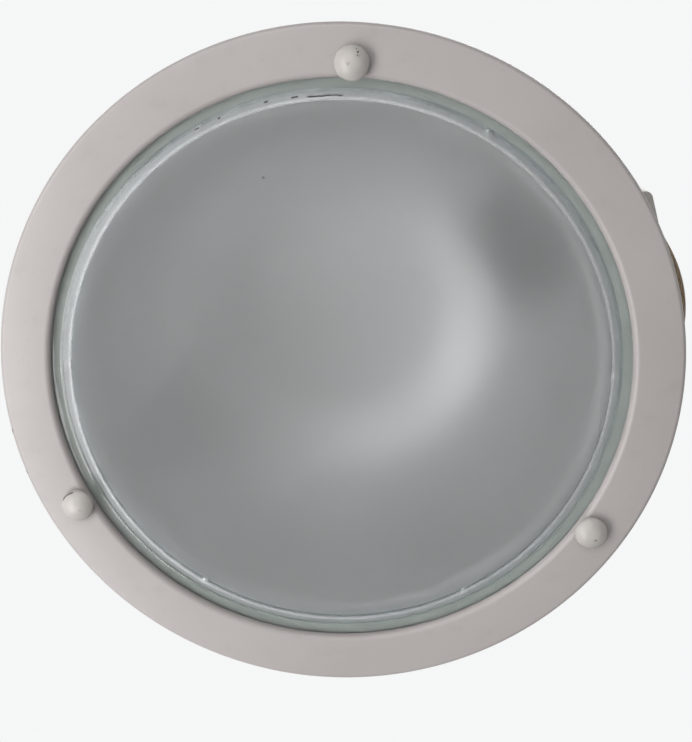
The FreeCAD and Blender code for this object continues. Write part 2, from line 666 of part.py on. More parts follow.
trayShell = roundedPlate("trayShell", "(" + trayTop + " - " + trayBase + ")", trayBase)
hollow = addBox("trayHollow", trayInner + " + Sheet.traySheet", "Sheet.trayLow + Sheet.traySheet", trayFloor,
                "Sheet.trayLength - 2 * Sheet.traySheet", "Sheet.trayWidth - 2 * Sheet.traySheet",
                trayTop + " - Sheet.traySheet - " + trayFloor)
hatch = addBox("trayHatch", trayInner + " + Sheet.trayLip", "Sheet.trayLow + Sheet.traySheet", trayFloor,
               "Sheet.trayLength - 2 * Sheet.trayLip", "Sheet.trayWidth - 2 * Sheet.traySheet",
               trayTop + " - " + trayFloor)
inletHole = addRod("trayInletHole", cell("grommetNeckRadius"), cell("traySheet"),
                   trayEnd + " - Sheet.traySheet", cell("inletSide"), inletHeight)
turnToTray = "(Sheet.lampAngle - Sheet.trayAngle)"
feedEast = "(%s * cos(%s) - Sheet.feedSide * sin(%s))" % (feedAlong, turnToTray, turnToTray)
feedNorth = "(%s * sin(%s) + Sheet.feedSide * cos(%s))" % (feedAlong, turnToTray, turnToTray)
feedHole = addCylinder("trayFeedHole", "Sheet.feedLeadRadius + Sheet.leadClearance", cell("traySheet"),
                       feedEast, feedNorth, trayBase)
lidScrewSpots = [
    (trayInner + " + Sheet.trayLip / 2", trayMiddle),
    (trayEnd + " - Sheet.trayLip / 2", trayMiddle),
]
gripMiddle = "(" + trayEnd + " - Sheet.gripInset + Sheet.gripLength / 2)"
gripScrewSpots = [
    (gripMiddle, "Sheet.inletSide - Sheet.gripScrewSpread"),
    (gripMiddle, "Sheet.inletSide + Sheet.gripScrewSpread"),
]
earthSpot = (trayEnd + " - Sheet.earthInset", cell("earthSide"))
trayCuts = [hollow, hatch, inletHole, feedHole]
for number, y in enumerate(flapRivetSpots):
    trayCuts.append(addRod("trayRivetHole%d" % number, cell("rivetRadius"), cell("traySheet"),
                           trayInner, y, flapRivetHeight))
for number, (x, y) in enumerate(lidScrewSpots):
    trayCuts.append(addCylinder("trayLidHole%d" % number, cell("screwRadius"), cell("traySheet"),
                                x, y, trayTop + " - Sheet.traySheet"))
for number, (x, y) in enumerate(gripScrewSpots + [earthSpot]):
    trayCuts.append(addCylinder("trayFloorHole%d" % number, cell("screwRadius"), cell("traySheet"),
                                x, y, trayBase))
tray = keep(cut("gear_tray", trayShell, trayCuts))
setPlace(tray, angle=cell("trayAngle"))

lidPlate = roundedPlate("lidPlate", cell("traySheet"), trayTop)
lidHoles = []
for number, (x, y) in enumerate(lidScrewSpots):
    lidHoles.append(addCylinder("lidHole%d" % number, cell("screwRadius"), cell("traySheet"), x, y, trayTop))
lid = keep(cut("tray_lid", lidPlate, lidHoles))
setPlace(lid, angle=cell("trayAngle"))
screws = []
for number, (x, y) in enumerate(lidScrewSpots):
    screws += addScrew("lidScrew%d" % number, x, y, trayTop + " + Sheet.traySheet", cell("screwLength"))
lidScrews = keep(fuse("lid_screws", screws))
setPlace(lidScrews, angle=cell("trayAngle"))

# Terminal block on the tray's floor, with its clamping screws.
blockEast = "(" + trayInner + " + Sheet.traySheet + Sheet.blockInset)"
blockTop = "(" + trayFloor + " + Sheet.blockHeight)"
wayCount = 3
block = addBox("blockForm", blockEast, cell("blockStart"), trayFloor,
               cell("blockLength"), "%d * Sheet.blockPitch" % wayCount, cell("blockHeight"))
blockHoles = []
screws = []
for way in range(wayCount):
    wayNorth = "(Sheet.blockStart + Sheet.blockPitch * %.1f)" % (way + 0.5)
    blockHoles.append(addRod("wireHole%d" % way, cell("wireHoleRadius"), cell("blockLength"),
                             blockEast, wayNorth, trayFloor + " + Sheet.wireHoleRise"))
    for row in range(2):
        rowEast = "(%s + Sheet.blockLength * %.2f)" % (blockEast, 0.25 + 0.5 * row)
        name = "terminalScrew_%d_%d" % (way, row)
        low = blockTop + " - Sheet.terminalScrewDepth"
        blockHoles.append(addCylinder(name + "_hole", cell("terminalScrewRadius"), cell("terminalScrewDepth"),
                                      rowEast, wayNorth, low))
        screwLength = "Sheet.terminalScrewDepth - Sheet.terminalScrewSunk"
        screws.append(addCylinder(name, cell("terminalScrewRadius"), screwLength,
                                  rowEast, wayNorth, low))
terminalBlock = keep(cut("terminal_block", block, blockHoles))
setPlace(terminalBlock, angle=cell("trayAngle"))
terminalScrews = keep(fuse("terminal_screws", screws))
setPlace(terminalScrews, angle=cell("trayAngle"))

# Mains inlet: rubber grommet in the tray's end wall and a cord grip behind it.
neckStart = "(" + trayEnd + " - Sheet.traySheet)"
grommet = keep(revolveAlong("inlet_grommet", [
    (neckStart + " - Sheet.grommetFlange", cell("inletBore")),
    (neckStart + " - Sheet.grommetFlange", cell("grommetFlangeRadius")),
    (neckStart, cell("grommetFlangeRadius")),
    (neckStart, cell("grommetNeckRadius")),
    (trayEnd, cell("grommetNeckRadius")),
    (trayEnd, cell("grommetFlangeRadius")),
    (trayEnd + " + Sheet.grommetFlange", "Sheet.grommetFlangeRadius - Sheet.grommetChamfer"),
    (trayEnd + " + Sheet.grommetFlange", cell("inletBore")),
]))
inletEast = "-Sheet.inletSide * sin(Sheet.trayAngle)"
inletNorth = "Sheet.inletSide * cos(Sheet.trayAngle)"
grommet.setExpression("Placement", "placement(vector(1 mm * (%s); 1 mm * (%s); 1 mm * (%s)); "
                      "rotation(vector(0; 0; 1); Sheet.trayAngle))" % (inletEast, inletNorth, inletHeight))
gripHeight = "(" + inletRise + " + Sheet.inletBore + Sheet.leadClearance + Sheet.gripWall)"
gripForm = addBox("gripForm", trayEnd + " - Sheet.gripInset",
                  "Sheet.inletSide - Sheet.gripWidth / 2", trayFloor,
                  cell("gripLength"), cell("gripWidth"), gripHeight)
gripChannel = addRod("gripChannel", "Sheet.inletBore + Sheet.leadClearance", cell("gripLength"),
                     trayEnd + " - Sheet.gripInset", cell("inletSide"), inletHeight)
gripHoles = [gripChannel]
screws = []
gripTop = "(" + trayFloor + " + " + gripHeight + ")"
for number, (x, y) in enumerate(gripScrewSpots):
    gripHoles.append(addCylinder("gripHole%d" % number, cell("screwRadius"), gripHeight, x, y, trayFloor))
    screws += addScrew("gripScrew%d" % number, x, y, gripTop, gripHeight + " + Sheet.traySheet")
grip = keep(cut("cord_grip", gripForm, gripHoles))
setPlace(grip, angle=cell("trayAngle"))
gripScrews = keep(fuse("cord_grip_screws", screws))
setPlace(gripScrews, angle=cell("trayAngle"))
earth = keep(fuse("earth_screw", addScrew("earthScrew", earthSpot[0], earthSpot[1], trayFloor,
                                          "2 * Sheet.traySheet")))
setPlace(earth, angle=cell("trayAngle"))

# Swing clamps: a long screw through the pan, a threaded bush that climbs it, a dog that turns on the bush.
for number, angle in clampAngles.items():
    screwBody = revolve("clampScrewForm%d" % number, [
        ("0", "-Sheet.clampHeadHeight"),
        (cell("clampHeadRadius"), "-Sheet.clampHeadHeight"),
        (cell("clampHeadRadius"), "0"),
        (cell("clampScrewRadius"), "0"),
        (cell("clampScrewRadius"), cell("clampScrewLength")),
        ("0", cell("clampScrewLength")),
    ])
    slot = addBox("clampSlot%d" % number, "-Sheet.clampHeadRadius", "-Sheet.clampSlotWidth / 2",
                  "-Sheet.clampHeadHeight", "2 * Sheet.clampHeadRadius", cell("clampSlotWidth"),
                  "Sheet.clampHeadHeight / 2")
    screw = keep(cut("clamp_screw_%d" % number, screwBody, [slot]))
    setPlace(screw, x=clampCircle, angle=angle)
    bushTop = "(" + clampGrip + " + Sheet.dogHeight + Sheet.clampBushClearance)"
    bush = keep(revolve("clamp_nut_%d" % number, [
        ("Sheet.clampScrewRadius + Sheet.threadClearance", clampGrip),
        (cell("clampBushRadius"), clampGrip),
        (cell("clampBushRadius"), bushTop),
        (cell("clampFlangeRadius"), bushTop),
        (cell("clampFlangeRadius"), bushTop + " + Sheet.clampFlangeHeight"),
        ("Sheet.clampScrewRadius + Sheet.threadClearance", bushTop + " + Sheet.clampFlangeHeight"),
    ]))
    setPlace(bush, x=clampCircle, angle=angle)
    boss = addCylinder("dogBoss%d" % number, cell("dogBossRadius"), cell("dogHeight"), z=clampGrip)
    tip = addCylinder("dogTip%d" % number, cell("dogBossRadius"), cell("dogHeight"),
                      cell("dogArmLength"), z=clampGrip)
    arm = addBox("dogArm%d" % number, "0", "-Sheet.dogBossRadius", clampGrip,
                 cell("dogArmLength"), "2 * Sheet.dogBossRadius", cell("dogHeight"))
    dogForm = fuse("dogForm%d" % number, [boss, tip, arm])
    dogBore = addCylinder("dogBore%d" % number, "Sheet.clampBushRadius + Sheet.clampBushClearance",
                          cell("dogHeight"), z=clampGrip)
    dog = keep(cut("clamp_dog_%d" % number, dogForm, [dogBore]))
    dogEast = "%s * cos(%s)" % (clampCircle, angle)
    dogNorth = "%s * sin(%s)" % (clampCircle, angle)
    dog.setExpression("Placement", "placement(vector(1 mm * (%s); 1 mm * (%s); 0 mm); "
                      "rotation(vector(0; 0; 1); %s + Sheet.dogRestTurn))" % (dogEast, dogNorth, angle))
doc.recompute()


def tubeAlong(name, wire, radius):
    start = wire.Edges[0]
    heading = start.tangentAt(start.FirstParameter)
    ring = Part.Wire([Part.makeCircle(radius, start.valueAt(start.FirstParameter), heading)])
    tube = doc.addObject("Part::Feature", name)
    tube.Shape = wire.makePipeShell([ring], True, False)
    return keep(tube)


def arcBetween(centre, radius, first, last):
    # Flat arc about an upright axis, from the first angle to the last, in degrees.
    middle = (first + last) / 2
    spots = []
    for turn in (first, middle, last):
        swing = math.radians(turn)
        spots.append(centre + FreeCAD.Vector(radius * math.cos(swing), radius * math.sin(swing), 0))
    return Part.Arc(spots[0], spots[1], spots[2]).toShape()


# Sleeved lead from one lampholder round the bowl to the other: it leaves the nipple, swings out in a wide
# loop and then follows the bowl. The second half mirrors the first about the middle of the way round.
lampTurn = math.radians(value("Sheet.lampAngle"))
leadHeight = value(lampHeight)
outward = FreeCAD.Vector(math.cos(lampTurn), math.sin(lampTurn), 0)
lift = FreeCAD.Vector(0, 0, leadHeight)
sideways = FreeCAD.Vector(-outward.y, outward.x, 0)
leadStart = value(nippleStart + " + Sheet.loopLeadPlug")
leadLeave = value(nippleEnd + " + Sheet.loopLeadLeave")
bendRadius = value("Sheet.loopLeadBend")
loopRadius = value("Sheet.loopLeadSwing")
backRadius = value("Sheet.loopLeadReturn")
roundRadius = value(bracketStart + " - Sheet.loopLeadInset")
bendTurn = value("Sheet.loopLeadBendTurn")
bendCentre = outward * leadLeave + sideways * bendRadius
lampDegrees = value("Sheet.lampAngle")
bendEnd = lampDegrees - 90 + bendTurn
swing = math.radians(bendEnd)
loopCentre = bendCentre - FreeCAD.Vector(math.cos(swing), math.sin(swing), 0) * (loopRadius - bendRadius)
loopReach = loopCentre.Length
loopDegrees = math.degrees(math.atan2(loopCentre.y, loopCentre.x))
cosine = (loopReach ** 2 + (roundRadius + backRadius) ** 2 - (loopRadius + backRadius) ** 2)
cosine = cosine / (2 * loopReach * (roundRadius + backRadius))
backDegrees = loopDegrees + math.degrees(math.acos(cosine))
swing = math.radians(backDegrees)
backCentre = FreeCAD.Vector(math.cos(swing), math.sin(swing), 0) * (roundRadius + backRadius)
meeting = backCentre - loopCentre
meetDegrees = math.degrees(math.atan2(meeting.y, meeting.x))
halfway = lampDegrees - 360 + 90
firstHalf = [
    Part.LineSegment(outward * leadStart + lift, outward * leadLeave + lift).toShape(),
    arcBetween(bendCentre + lift, bendRadius, lampDegrees - 90, bendEnd),
    arcBetween(loopCentre + lift, loopRadius, bendEnd - 360, meetDegrees),
    arcBetween(backCentre + lift, backRadius, meetDegrees + 180, backDegrees + 180),
    arcBetween(lift, roundRadius, backDegrees, halfway),
]
mirrorNormal = FreeCAD.Vector(-math.sin(math.radians(halfway)), math.cos(math.radians(halfway)), 0)
secondHalf = [edge.mirror(FreeCAD.Vector(0, 0, 0), mirrorNormal) for edge in reversed(firstHalf)]
loopWire = Part.Wire(Part.__sortEdges__(firstHalf + secondHalf))
tubeAlong("loop_lead", loopWire, value("Sheet.loopLeadRadius"))

# Short sleeved lead from the first lampholder up into the tray and across to the terminal block.
feedLow = value(lampHeight + " + " + entryFloor)
feedHigh = value(trayFloor + " + Sheet.wireHoleRise")
feedBend = value("Sheet.feedBend")
feedSpot = FreeCAD.Vector(value(feedEast), value(feedNorth), 0)
bendStart = feedSpot + FreeCAD.Vector(0, 0, feedHigh - feedBend)
bendInset = feedBend * (1 - math.sqrt(0.5))
bendMiddle = feedSpot + FreeCAD.Vector(0, bendInset, feedHigh - bendInset)
bendFinish = feedSpot + FreeCAD.Vector(0, feedBend, feedHigh)
feedFinish = FreeCAD.Vector(feedSpot.x, value("Sheet.blockStart"), feedHigh)
feedWire = Part.Wire([
    Part.LineSegment(feedSpot + FreeCAD.Vector(0, 0, feedLow), bendStart).toShape(),
    Part.Arc(bendStart, bendMiddle, bendFinish).toShape(),
    Part.LineSegment(bendFinish, feedFinish).toShape(),
])
feedLead = tubeAlong("feed_lead", feedWire, value("Sheet.feedLeadRadius"))
feedLead.Placement = FreeCAD.Placement(FreeCAD.Vector(0, 0, 0),
                                       FreeCAD.Rotation(FreeCAD.Vector(0, 0, 1), value("Sheet.trayAngle")))
doc.recompute()

for item in doc.Objects:
    if "Invalid" in item.State or "Error" in item.State:
        raise RuntimeError("%s failed: %s" % (item.Label, item.State))
for node in nodes:
    if node.Shape.isNull() or not node.Shape.isValid():
        raise RuntimeError("%s has no valid shape" % node.Label)
os.makedirs("parts", exist_ok=True)
for node in nodes:
    node.Shape.exportStep("parts/%s.step" % node.Label)
    print(node.Label, len(node.Shape.Solids), round(node.Shape.Volume, 1))
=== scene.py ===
import math
import bmesh
import bpy
import numpy as np
from mathutils import Matrix, Vector


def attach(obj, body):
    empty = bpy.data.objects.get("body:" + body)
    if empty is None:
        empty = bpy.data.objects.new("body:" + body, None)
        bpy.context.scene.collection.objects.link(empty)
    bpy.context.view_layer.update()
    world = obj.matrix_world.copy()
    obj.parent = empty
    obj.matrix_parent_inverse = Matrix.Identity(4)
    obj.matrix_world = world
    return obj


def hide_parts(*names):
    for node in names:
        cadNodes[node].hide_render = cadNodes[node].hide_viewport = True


# Round recessed ceiling light seen from below: the ring faces -Z, +Z goes up into the ceiling.
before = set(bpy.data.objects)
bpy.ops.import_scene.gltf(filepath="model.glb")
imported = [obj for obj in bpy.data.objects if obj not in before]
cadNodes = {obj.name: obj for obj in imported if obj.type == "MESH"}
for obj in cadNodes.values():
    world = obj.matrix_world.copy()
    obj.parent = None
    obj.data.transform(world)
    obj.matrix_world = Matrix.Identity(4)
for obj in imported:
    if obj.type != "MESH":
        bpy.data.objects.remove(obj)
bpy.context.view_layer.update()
mm = 0.001
fullTurn = 2 * math.pi
upward = (0, 0, 1)
sharpAngle = 38   # an edge that turns by more degrees than this stays sharp
weldGap = 1e-7    # points nearer than this, in metres, become one
print("frame loaded:", len(cadNodes), "nodes")


class Wire:
    # A shader value that takes part in sums: every operator adds one Math node.
    def __init__(self, finish, socket):
        self.finish = finish
        self.socket = socket

    def __add__(self, other):
        return self.finish.math("ADD", self, other)

    def __radd__(self, other):
        return self.finish.math("ADD", other, self)

    def __sub__(self, other):
        return self.finish.math("SUBTRACT", self, other)

    def __rsub__(self, other):
        return self.finish.math("SUBTRACT", other, self)

    def __mul__(self, other):
        return self.finish.math("MULTIPLY", self, other)

    def __rmul__(self, other):
        return self.finish.math("MULTIPLY", other, self)

    def __pow__(self, other):
        return self.finish.math("POWER", self, other)


class Finish:
    # One material: its principled shader, and the nodes that feed it.
    def __init__(self, name, **constants):
        self.material = bpy.data.materials.new(name)
        self.material.use_nodes = True
        self.tree = self.material.node_tree
        self.shader = self.tree.nodes["Principled BSDF"]
        self.spot = self.node("ShaderNodeTexCoord", output="Object")
        self.x, self.y, self.z = self.parts(self.spot)
        self.use(**constants)

    def feed(self, socket, amount):
        # A wire is linked to a socket, and a plain value is set on it.
        if isinstance(amount, Wire):
            self.tree.links.new(amount.socket, socket)
        else:
            socket.default_value = amount

    def node(self, kind, settings=None, sockets=None, output=0):
        made = self.tree.nodes.new(kind)
        for key, amount in (settings or {}).items():
            setattr(made, key, amount)
        for key, amount in (sockets or {}).items():
            self.feed(made.inputs[key], amount)
        return Wire(self, made.outputs[output])

    def use(self, **sockets):
        # Feeds the shader's own sockets: baseColor is the socket Base Color, and so on.
        for key, amount in sockets.items():
            spaced = "".join(" " + letter if letter.isupper() else letter for letter in key)
            self.feed(self.shader.inputs[spaced.title().replace("Ior", "IOR")], amount)

    def cover(self, share, second):
        # Mixes a second shader over the principled one.
        first = Wire(self, self.shader.outputs[0])
        both = self.node("ShaderNodeMixShader", None, {0: share, 1: first, 2: second})
        self.tree.links.new(both.socket, self.tree.nodes["Material Output"].inputs["Surface"])

    def parts(self, vector):
        split = self.node("ShaderNodeSeparateXYZ", sockets={0: vector}).socket.node
        return [Wire(self, socket) for socket in split.outputs]

    def math(self, operation, first, second=0):
        return self.node("ShaderNodeMath", {"operation": operation}, {0: first, 1: second})

    def most(self, *amounts):
        found = amounts[0]
        for amount in amounts[1:]:
            found = self.math("MAXIMUM", found, amount)
        return found

    def step(self, amount, low, high):
        # Runs smoothly from 0 at low to 1 at high.
        return self.node("ShaderNodeMapRange", {"interpolation_type": "SMOOTHSTEP"},
                         {"Value": amount, "From Min": low, "From Max": high})

    def band(self, amount, low, full, fading, high):
        # 1 between full and fading, and 0 under low and over high.
        return self.step(amount, low, full) * (1 - self.step(amount, fading, high))

    def mix(self, factor, first, second):
        return self.node("ShaderNodeMix", {"data_type": "RGBA"}, {0: factor, 6: first, 7: second}, 2)

    def noise(self, scale, detail, spot=None, output=0):
        return self.node("ShaderNodeTexNoise", None,
                         {"Vector": spot or self.spot, "Scale": scale, "Detail": detail}, output)

    def patches(self, scale, detail, low, high, spot=None):
        # Noise cut to patches that fade in between two levels.
        return self.step(self.noise(scale, detail, spot), low, high)

    def cells(self, scale, output, spot):
        return self.node("ShaderNodeTexVoronoi", None, {"Vector": spot, "Scale": scale}, output)

    def stretched(self, scale, turnAbout=(0, 0, 0)):
        # The piece's own coordinates, drawn out by another scale along each axis.
        return self.node("ShaderNodeMapping", None, {
            "Vector": self.spot, "Rotation": turnAbout, "Scale": scale})

    def joined(self, x, y, z):
        return self.node("ShaderNodeCombineXYZ", None, {0: x, 1: y, 2: z})

    def reach(self, x, y):
        return (x * x + y * y) ** 0.5

    def near(self, middle, inner, outer):
        # 1 within the inner distance of a middle and 0 past the outer one, in millimetres.
        ends = {0: self.spot, 1: [part * mm for part in middle]}
        gap = self.node("ShaderNodeVectorMath", {"operation": "DISTANCE"}, ends, "Value")
        return 1 - self.step(gap, inner * mm, outer * mm)

    def bump(self, height, depth, strength):
        return self.node("ShaderNodeBump", None, {"Height": height, "Distance": depth, "Strength": strength})


def colour(red, green, blue):
    return (red, green, blue, 1.0)


def softProfile(corners, closed=True, arcSteps=6):
    # Corners are (radius, height, rounding); a rounded corner becomes an arc that touches both its sides:
    # it starts rounding / tan(half the corner's angle) away, about a centre on the corner's bisector.
    spots = []
    count = len(corners)
    share = np.linspace(0, 1, arcSteps + 1)[:, None]
    for index in range(count):
        here = np.array(corners[index][:2], float)
        rounding = corners[index][2] if len(corners[index]) > 2 else 0
        if rounding == 0 or (not closed and index in (0, count - 1)):
            spots.append(here[None])
            continue
        back = np.array(corners[index - 1][:2], float) - here
        ahead = np.array(corners[(index + 1) % count][:2], float) - here
        back /= np.linalg.norm(back)
        ahead /= np.linalg.norm(ahead)
        half = math.acos(np.clip(back @ ahead, -1, 1)) / 2
        bisector = (back + ahead) / np.linalg.norm(back + ahead)
        centre = here + bisector * rounding / math.sin(half)
        first = here + back * rounding / math.tan(half) - centre
        last = here + ahead * rounding / math.tan(half) - centre
        sweep = math.pi - 2 * half
        arc = np.sin((1 - share) * sweep) * first + np.sin(share * sweep) * last
        spots.append(centre + arc / math.sin(sweep))
    return np.vstack(spots)


def axisFrame(axis):
    # Two directions square to an axis, so that first x second = axis.
    axis = np.array(axis, float) / np.linalg.norm(axis)
    helper = np.array([0.0, 0.0, 1.0]) if abs(axis[2]) < 0.9 else np.array([1.0, 0.0, 0.0])
    first = np.cross(helper, axis)
    first /= np.linalg.norm(first)
    return first, np.cross(axis, first), axis


def around(steps):
    return np.linspace(0, fullTurn, steps, endpoint=False)[None]


def aboutAxis(radius, height, angle, centre=(0, 0, 0), axis=upward):
    # A point is centre + height along the axis + radius in the direction of its angle; all in millimetres.
    first, second, along = axisFrame(axis)
    radius, height, angle = np.broadcast_arrays(radius, height, angle)
    across = np.cos(angle)[..., None] * first + np.sin(angle)[..., None] * second
    return (np.array(centre, float) + height[..., None] * along + radius[..., None] * across) * mm


def turned(profile, steps, centre=(0, 0, 0), axis=upward, closed=True):
    # A profile of (radius, height) carried round an axis: one row for each profile point.
    return aboutAxis(profile[:, :1], profile[:, 1:2], around(steps), centre, axis), closed, True


def quadsOf(index):
    return np.stack([index[:-1, :-1], index[:-1, 1:], index[1:, 1:], index[1:, :-1]], -1).reshape(-1, 4)


def weld(mesh, turnOut=False):
    # Merges points that lie on each other, and turns the faces outwards where that is asked for.
    shape = bmesh.new()
    shape.from_mesh(mesh)
    bmesh.ops.remove_doubles(shape, verts=shape.verts, dist=weldGap)
    if turnOut:
        bmesh.ops.recalc_face_normals(shape, faces=shape.faces)
    shape.to_mesh(mesh)
    shape.free()


def smooth(mesh, sharpest):
    mesh.shade_smooth()
    mesh.set_sharp_from_angle(angle=math.radians(sharpest))


def place(name, mesh, sharpest=sharpAngle):
    smooth(mesh, sharpest)
    piece = bpy.data.objects.new(name, mesh)
    bpy.context.scene.collection.objects.link(piece)
    return piece


def lay(name, grids, sharpest=sharpAngle):
    # Puts grids of points into one mesh: a quad joins each point to its next ones, and grids may close on
    # themselves. The sign of the volume that a grid encloses, a sum of triple products, turns it outwards.
    spots = []
    faces = []
    offset = 0
    for points, closeRows, closeColumns in grids:
        index = np.arange(points.shape[0] * points.shape[1]).reshape(points.shape[:2])
        if closeRows:
            index = np.vstack([index, index[:1]])
        if closeColumns:
            index = np.hstack([index, index[:, :1]])
        quads = quadsOf(index)
        flat = points.reshape(-1, 3)
        corner = [flat[quads[:, turn]] for turn in range(4)]
        volume = np.sum(corner[0] * np.cross(corner[1] - corner[3], corner[2]))
        faces.append((quads if volume > 0 else quads[:, ::-1]) + offset)
        spots.append(flat)
        offset += len(flat)
    mesh = bpy.data.meshes.new(name)
    mesh.from_pydata(np.vstack(spots).tolist(), [], np.vstack(faces).tolist())
    weld(mesh)
    return place(name, mesh, sharpest)


def drill(piece, grids):
    # Takes the shapes of the grids out of a piece.
    tool = lay(piece.name + "_drill", grids)
    modifier = piece.modifiers.new("drill", "BOOLEAN")
    modifier.operation = "DIFFERENCE"
    modifier.solver = "EXACT"
    modifier.object = tool
    seen = piece.evaluated_get(bpy.context.evaluated_depsgraph_get())
    mesh = bpy.data.meshes.new_from_object(seen)
    piece.modifiers.clear()
    old = piece.data
    piece.data = mesh
    bpy.data.meshes.remove(old)
    bpy.data.objects.remove(tool)
    smooth(mesh, sharpAngle)
    return piece


def rod(radius, low, high, steps=32, centre=(0, 0, 0), axis=upward):
    # A closed plain cylinder along an axis.
    profile = np.array([(0, low), (radius, low), (radius, high), (0, high)], float)
    return turned(profile, steps, centre, axis, closed=False)


def screwThread(crest, depth, pitch, low, high, centre, axis=upward, steps=40, rows=10, bore=0):
    # A thread's radius falls from the crest by depth as height / pitch - angle / turn ramps up and down,
    # and it runs out smoothly over the last turn at each end; the ends close at the bore, or on the axis.
    angle = around(steps)
    height = np.linspace(low, high, int(math.ceil((high - low) / pitch * rows)) + 1)[:, None]
    phase = (height / pitch - angle / fullTurn) % 1.0
    ridge = np.clip(1.25 - 2.5 * np.abs(phase - 0.5), 0, 1)   # a flat crest, a fifth of the pitch wide
    fade = np.clip(np.minimum(height - low, high - height) / pitch, 0, 1)
    wall = aboutAxis(crest - depth * (1 - ridge * fade), height, angle, centre, axis)
    foot, tip = [aboutAxis(bore, end, angle, centre, axis) for end in (low, high)]
    return np.vstack([foot, wall, tip]), bore > 0, True


def polar(radius, degrees, height=0.0):
    swing = math.radians(degrees)
    return np.array([radius * math.cos(swing), radius * math.sin(swing), height])


def settle(piece, finish, body, slot, *standsFor):
    # Gives a finished piece its material, the body it rides on and the nodes it stands for.
    piece.data.materials.clear()
    piece.data.materials.append(finish.material)
    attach(piece, body)
    if standsFor:
        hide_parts(*standsFor)


def coat(finish, *names):
    # A CAD node keeps its shape and takes a finish.
    for name in names:
        node = cadNodes[name]
        node.data.materials.clear()
        node.data.materials.append(finish.material)


# The places and sizes that several pieces share, in millimetres and degrees
studs = {"radius": 102.6, "turns": (272.4, 152.4, 32.4)}
clamps = {"radius": 103.0, "turns": (61.0, 241.0)}
lamps = {"turns": {"a": 331.0, "b": 151.0}, "height": 43.0}
lampCentre = np.array([0, 0, lamps["height"]])
trayTurn = 344.0
trayAlong = polar(1, trayTurn)
knobRadius = 5.6
glassStep = {"stepInner": 91.6, "stepOuter": 94.8}


def onTray(along, aside, height=0.0):
    # A spot in the tray's own directions, put into the frame.
    return along * trayAlong + aside * polar(1, trayTurn + 90) + np.array([0, 0, height])


# Finishes: patches of noise are given as scale, detail, and the levels between which they fade in

enamelLook = {
    "tone": colour(0.422, 0.393, 0.386), "shade": colour(0.382, 0.353, 0.345),
    "chip": colour(0.050, 0.045, 0.040), "dust": colour(0.210, 0.190, 0.170), "rough": 0.34,
    "edge": 113.8, "edgeFade": 0.8, "cloud": (16, 3, 0.35, 0.68), "grime": (130, 4, 0.56, 0.78),
    "fleck": (1500, 1, 0.735, 0.76), "fleckField": (35, 1, 0.42, 0.58), "flake": (210, 3, 0.695, 0.715),
    "scuff": (60, 5, 0.50, 0.72), "fineSkin": (640, 2), "wideSkin": (190, 2),
}


def stoveEnamel(name, tone, shade, chip, dust, rough, edge, edgeFade, cloud, grime, fleck, fleckField, flake,
                scuff, fineSkin, wideSkin):
    # Sprayed and stoved enamel: soft clouds of tone, orange peel, a little dust, chips along the outer edge.
    finish = Finish(name, specularIorLevel=0.45)
    tint = finish.mix(finish.patches(*cloud) * 0.55, tone, shade)
    tint = finish.mix(finish.patches(*grime) * 0.10, tint, dust)
    tint = finish.mix(finish.patches(*fleck) * finish.patches(*fleckField) * 0.30, tint, dust)
    span = finish.reach(finish.x, finish.y)
    flaked = finish.step(span, edge * mm, (edge + edgeFade) * mm) * finish.patches(*flake)
    peel = finish.noise(*fineSkin) + finish.noise(*wideSkin) * 0.8 - flaked * 1.6
    scuffed = finish.patches(*scuff, finish.stretched((1, 6, 1), (0, 0, 0.6)))
    finish.use(baseColor=finish.mix(flaked, tint, chip), roughness=rough + scuffed * 0.10 + flaked * 0.35,
               normal=finish.bump(peel, 0.00010, 0.35))
    return finish


knobLook = {
    "tone": colour(0.485, 0.458, 0.438), "shade": colour(0.438, 0.410, 0.390),
    "chip": colour(0.045, 0.040, 0.036), "bruise": colour(0.330, 0.290, 0.250),
    "rough": 0.36, "cloud": (240, 3, 0.35, 0.70), "mottle": (1900, 3, 0.34, 0.56), "ragged": (2600, 3),
    "fineSkin": (900, 2), "wideSkin": (300, 2),
    # chips and bruises: knob number, turn and share of the radius from its middle, size in millimetres
    "chips": [(0, 288, 0.80, 0.17), (0, 300, 0.69, 0.24), (0, 306, 0.52, 0.10), (2, 49, 0.34, 0.22)],
    "bruises": [(0, 170, 0.22, 0.80), (0, 312, 0.55, 0.90), (2, 60, 0.30, 0.80), (1, 20, 0.30, 0.60)],
    # a cut along one knob's rim: the same place, then the radii between which it lies and how far it reaches
    "cut": (1, 232, 0.93), "cutRim": (5.00, 5.12, 5.30, 5.45), "cutReach": (1.9, 3.0),
}


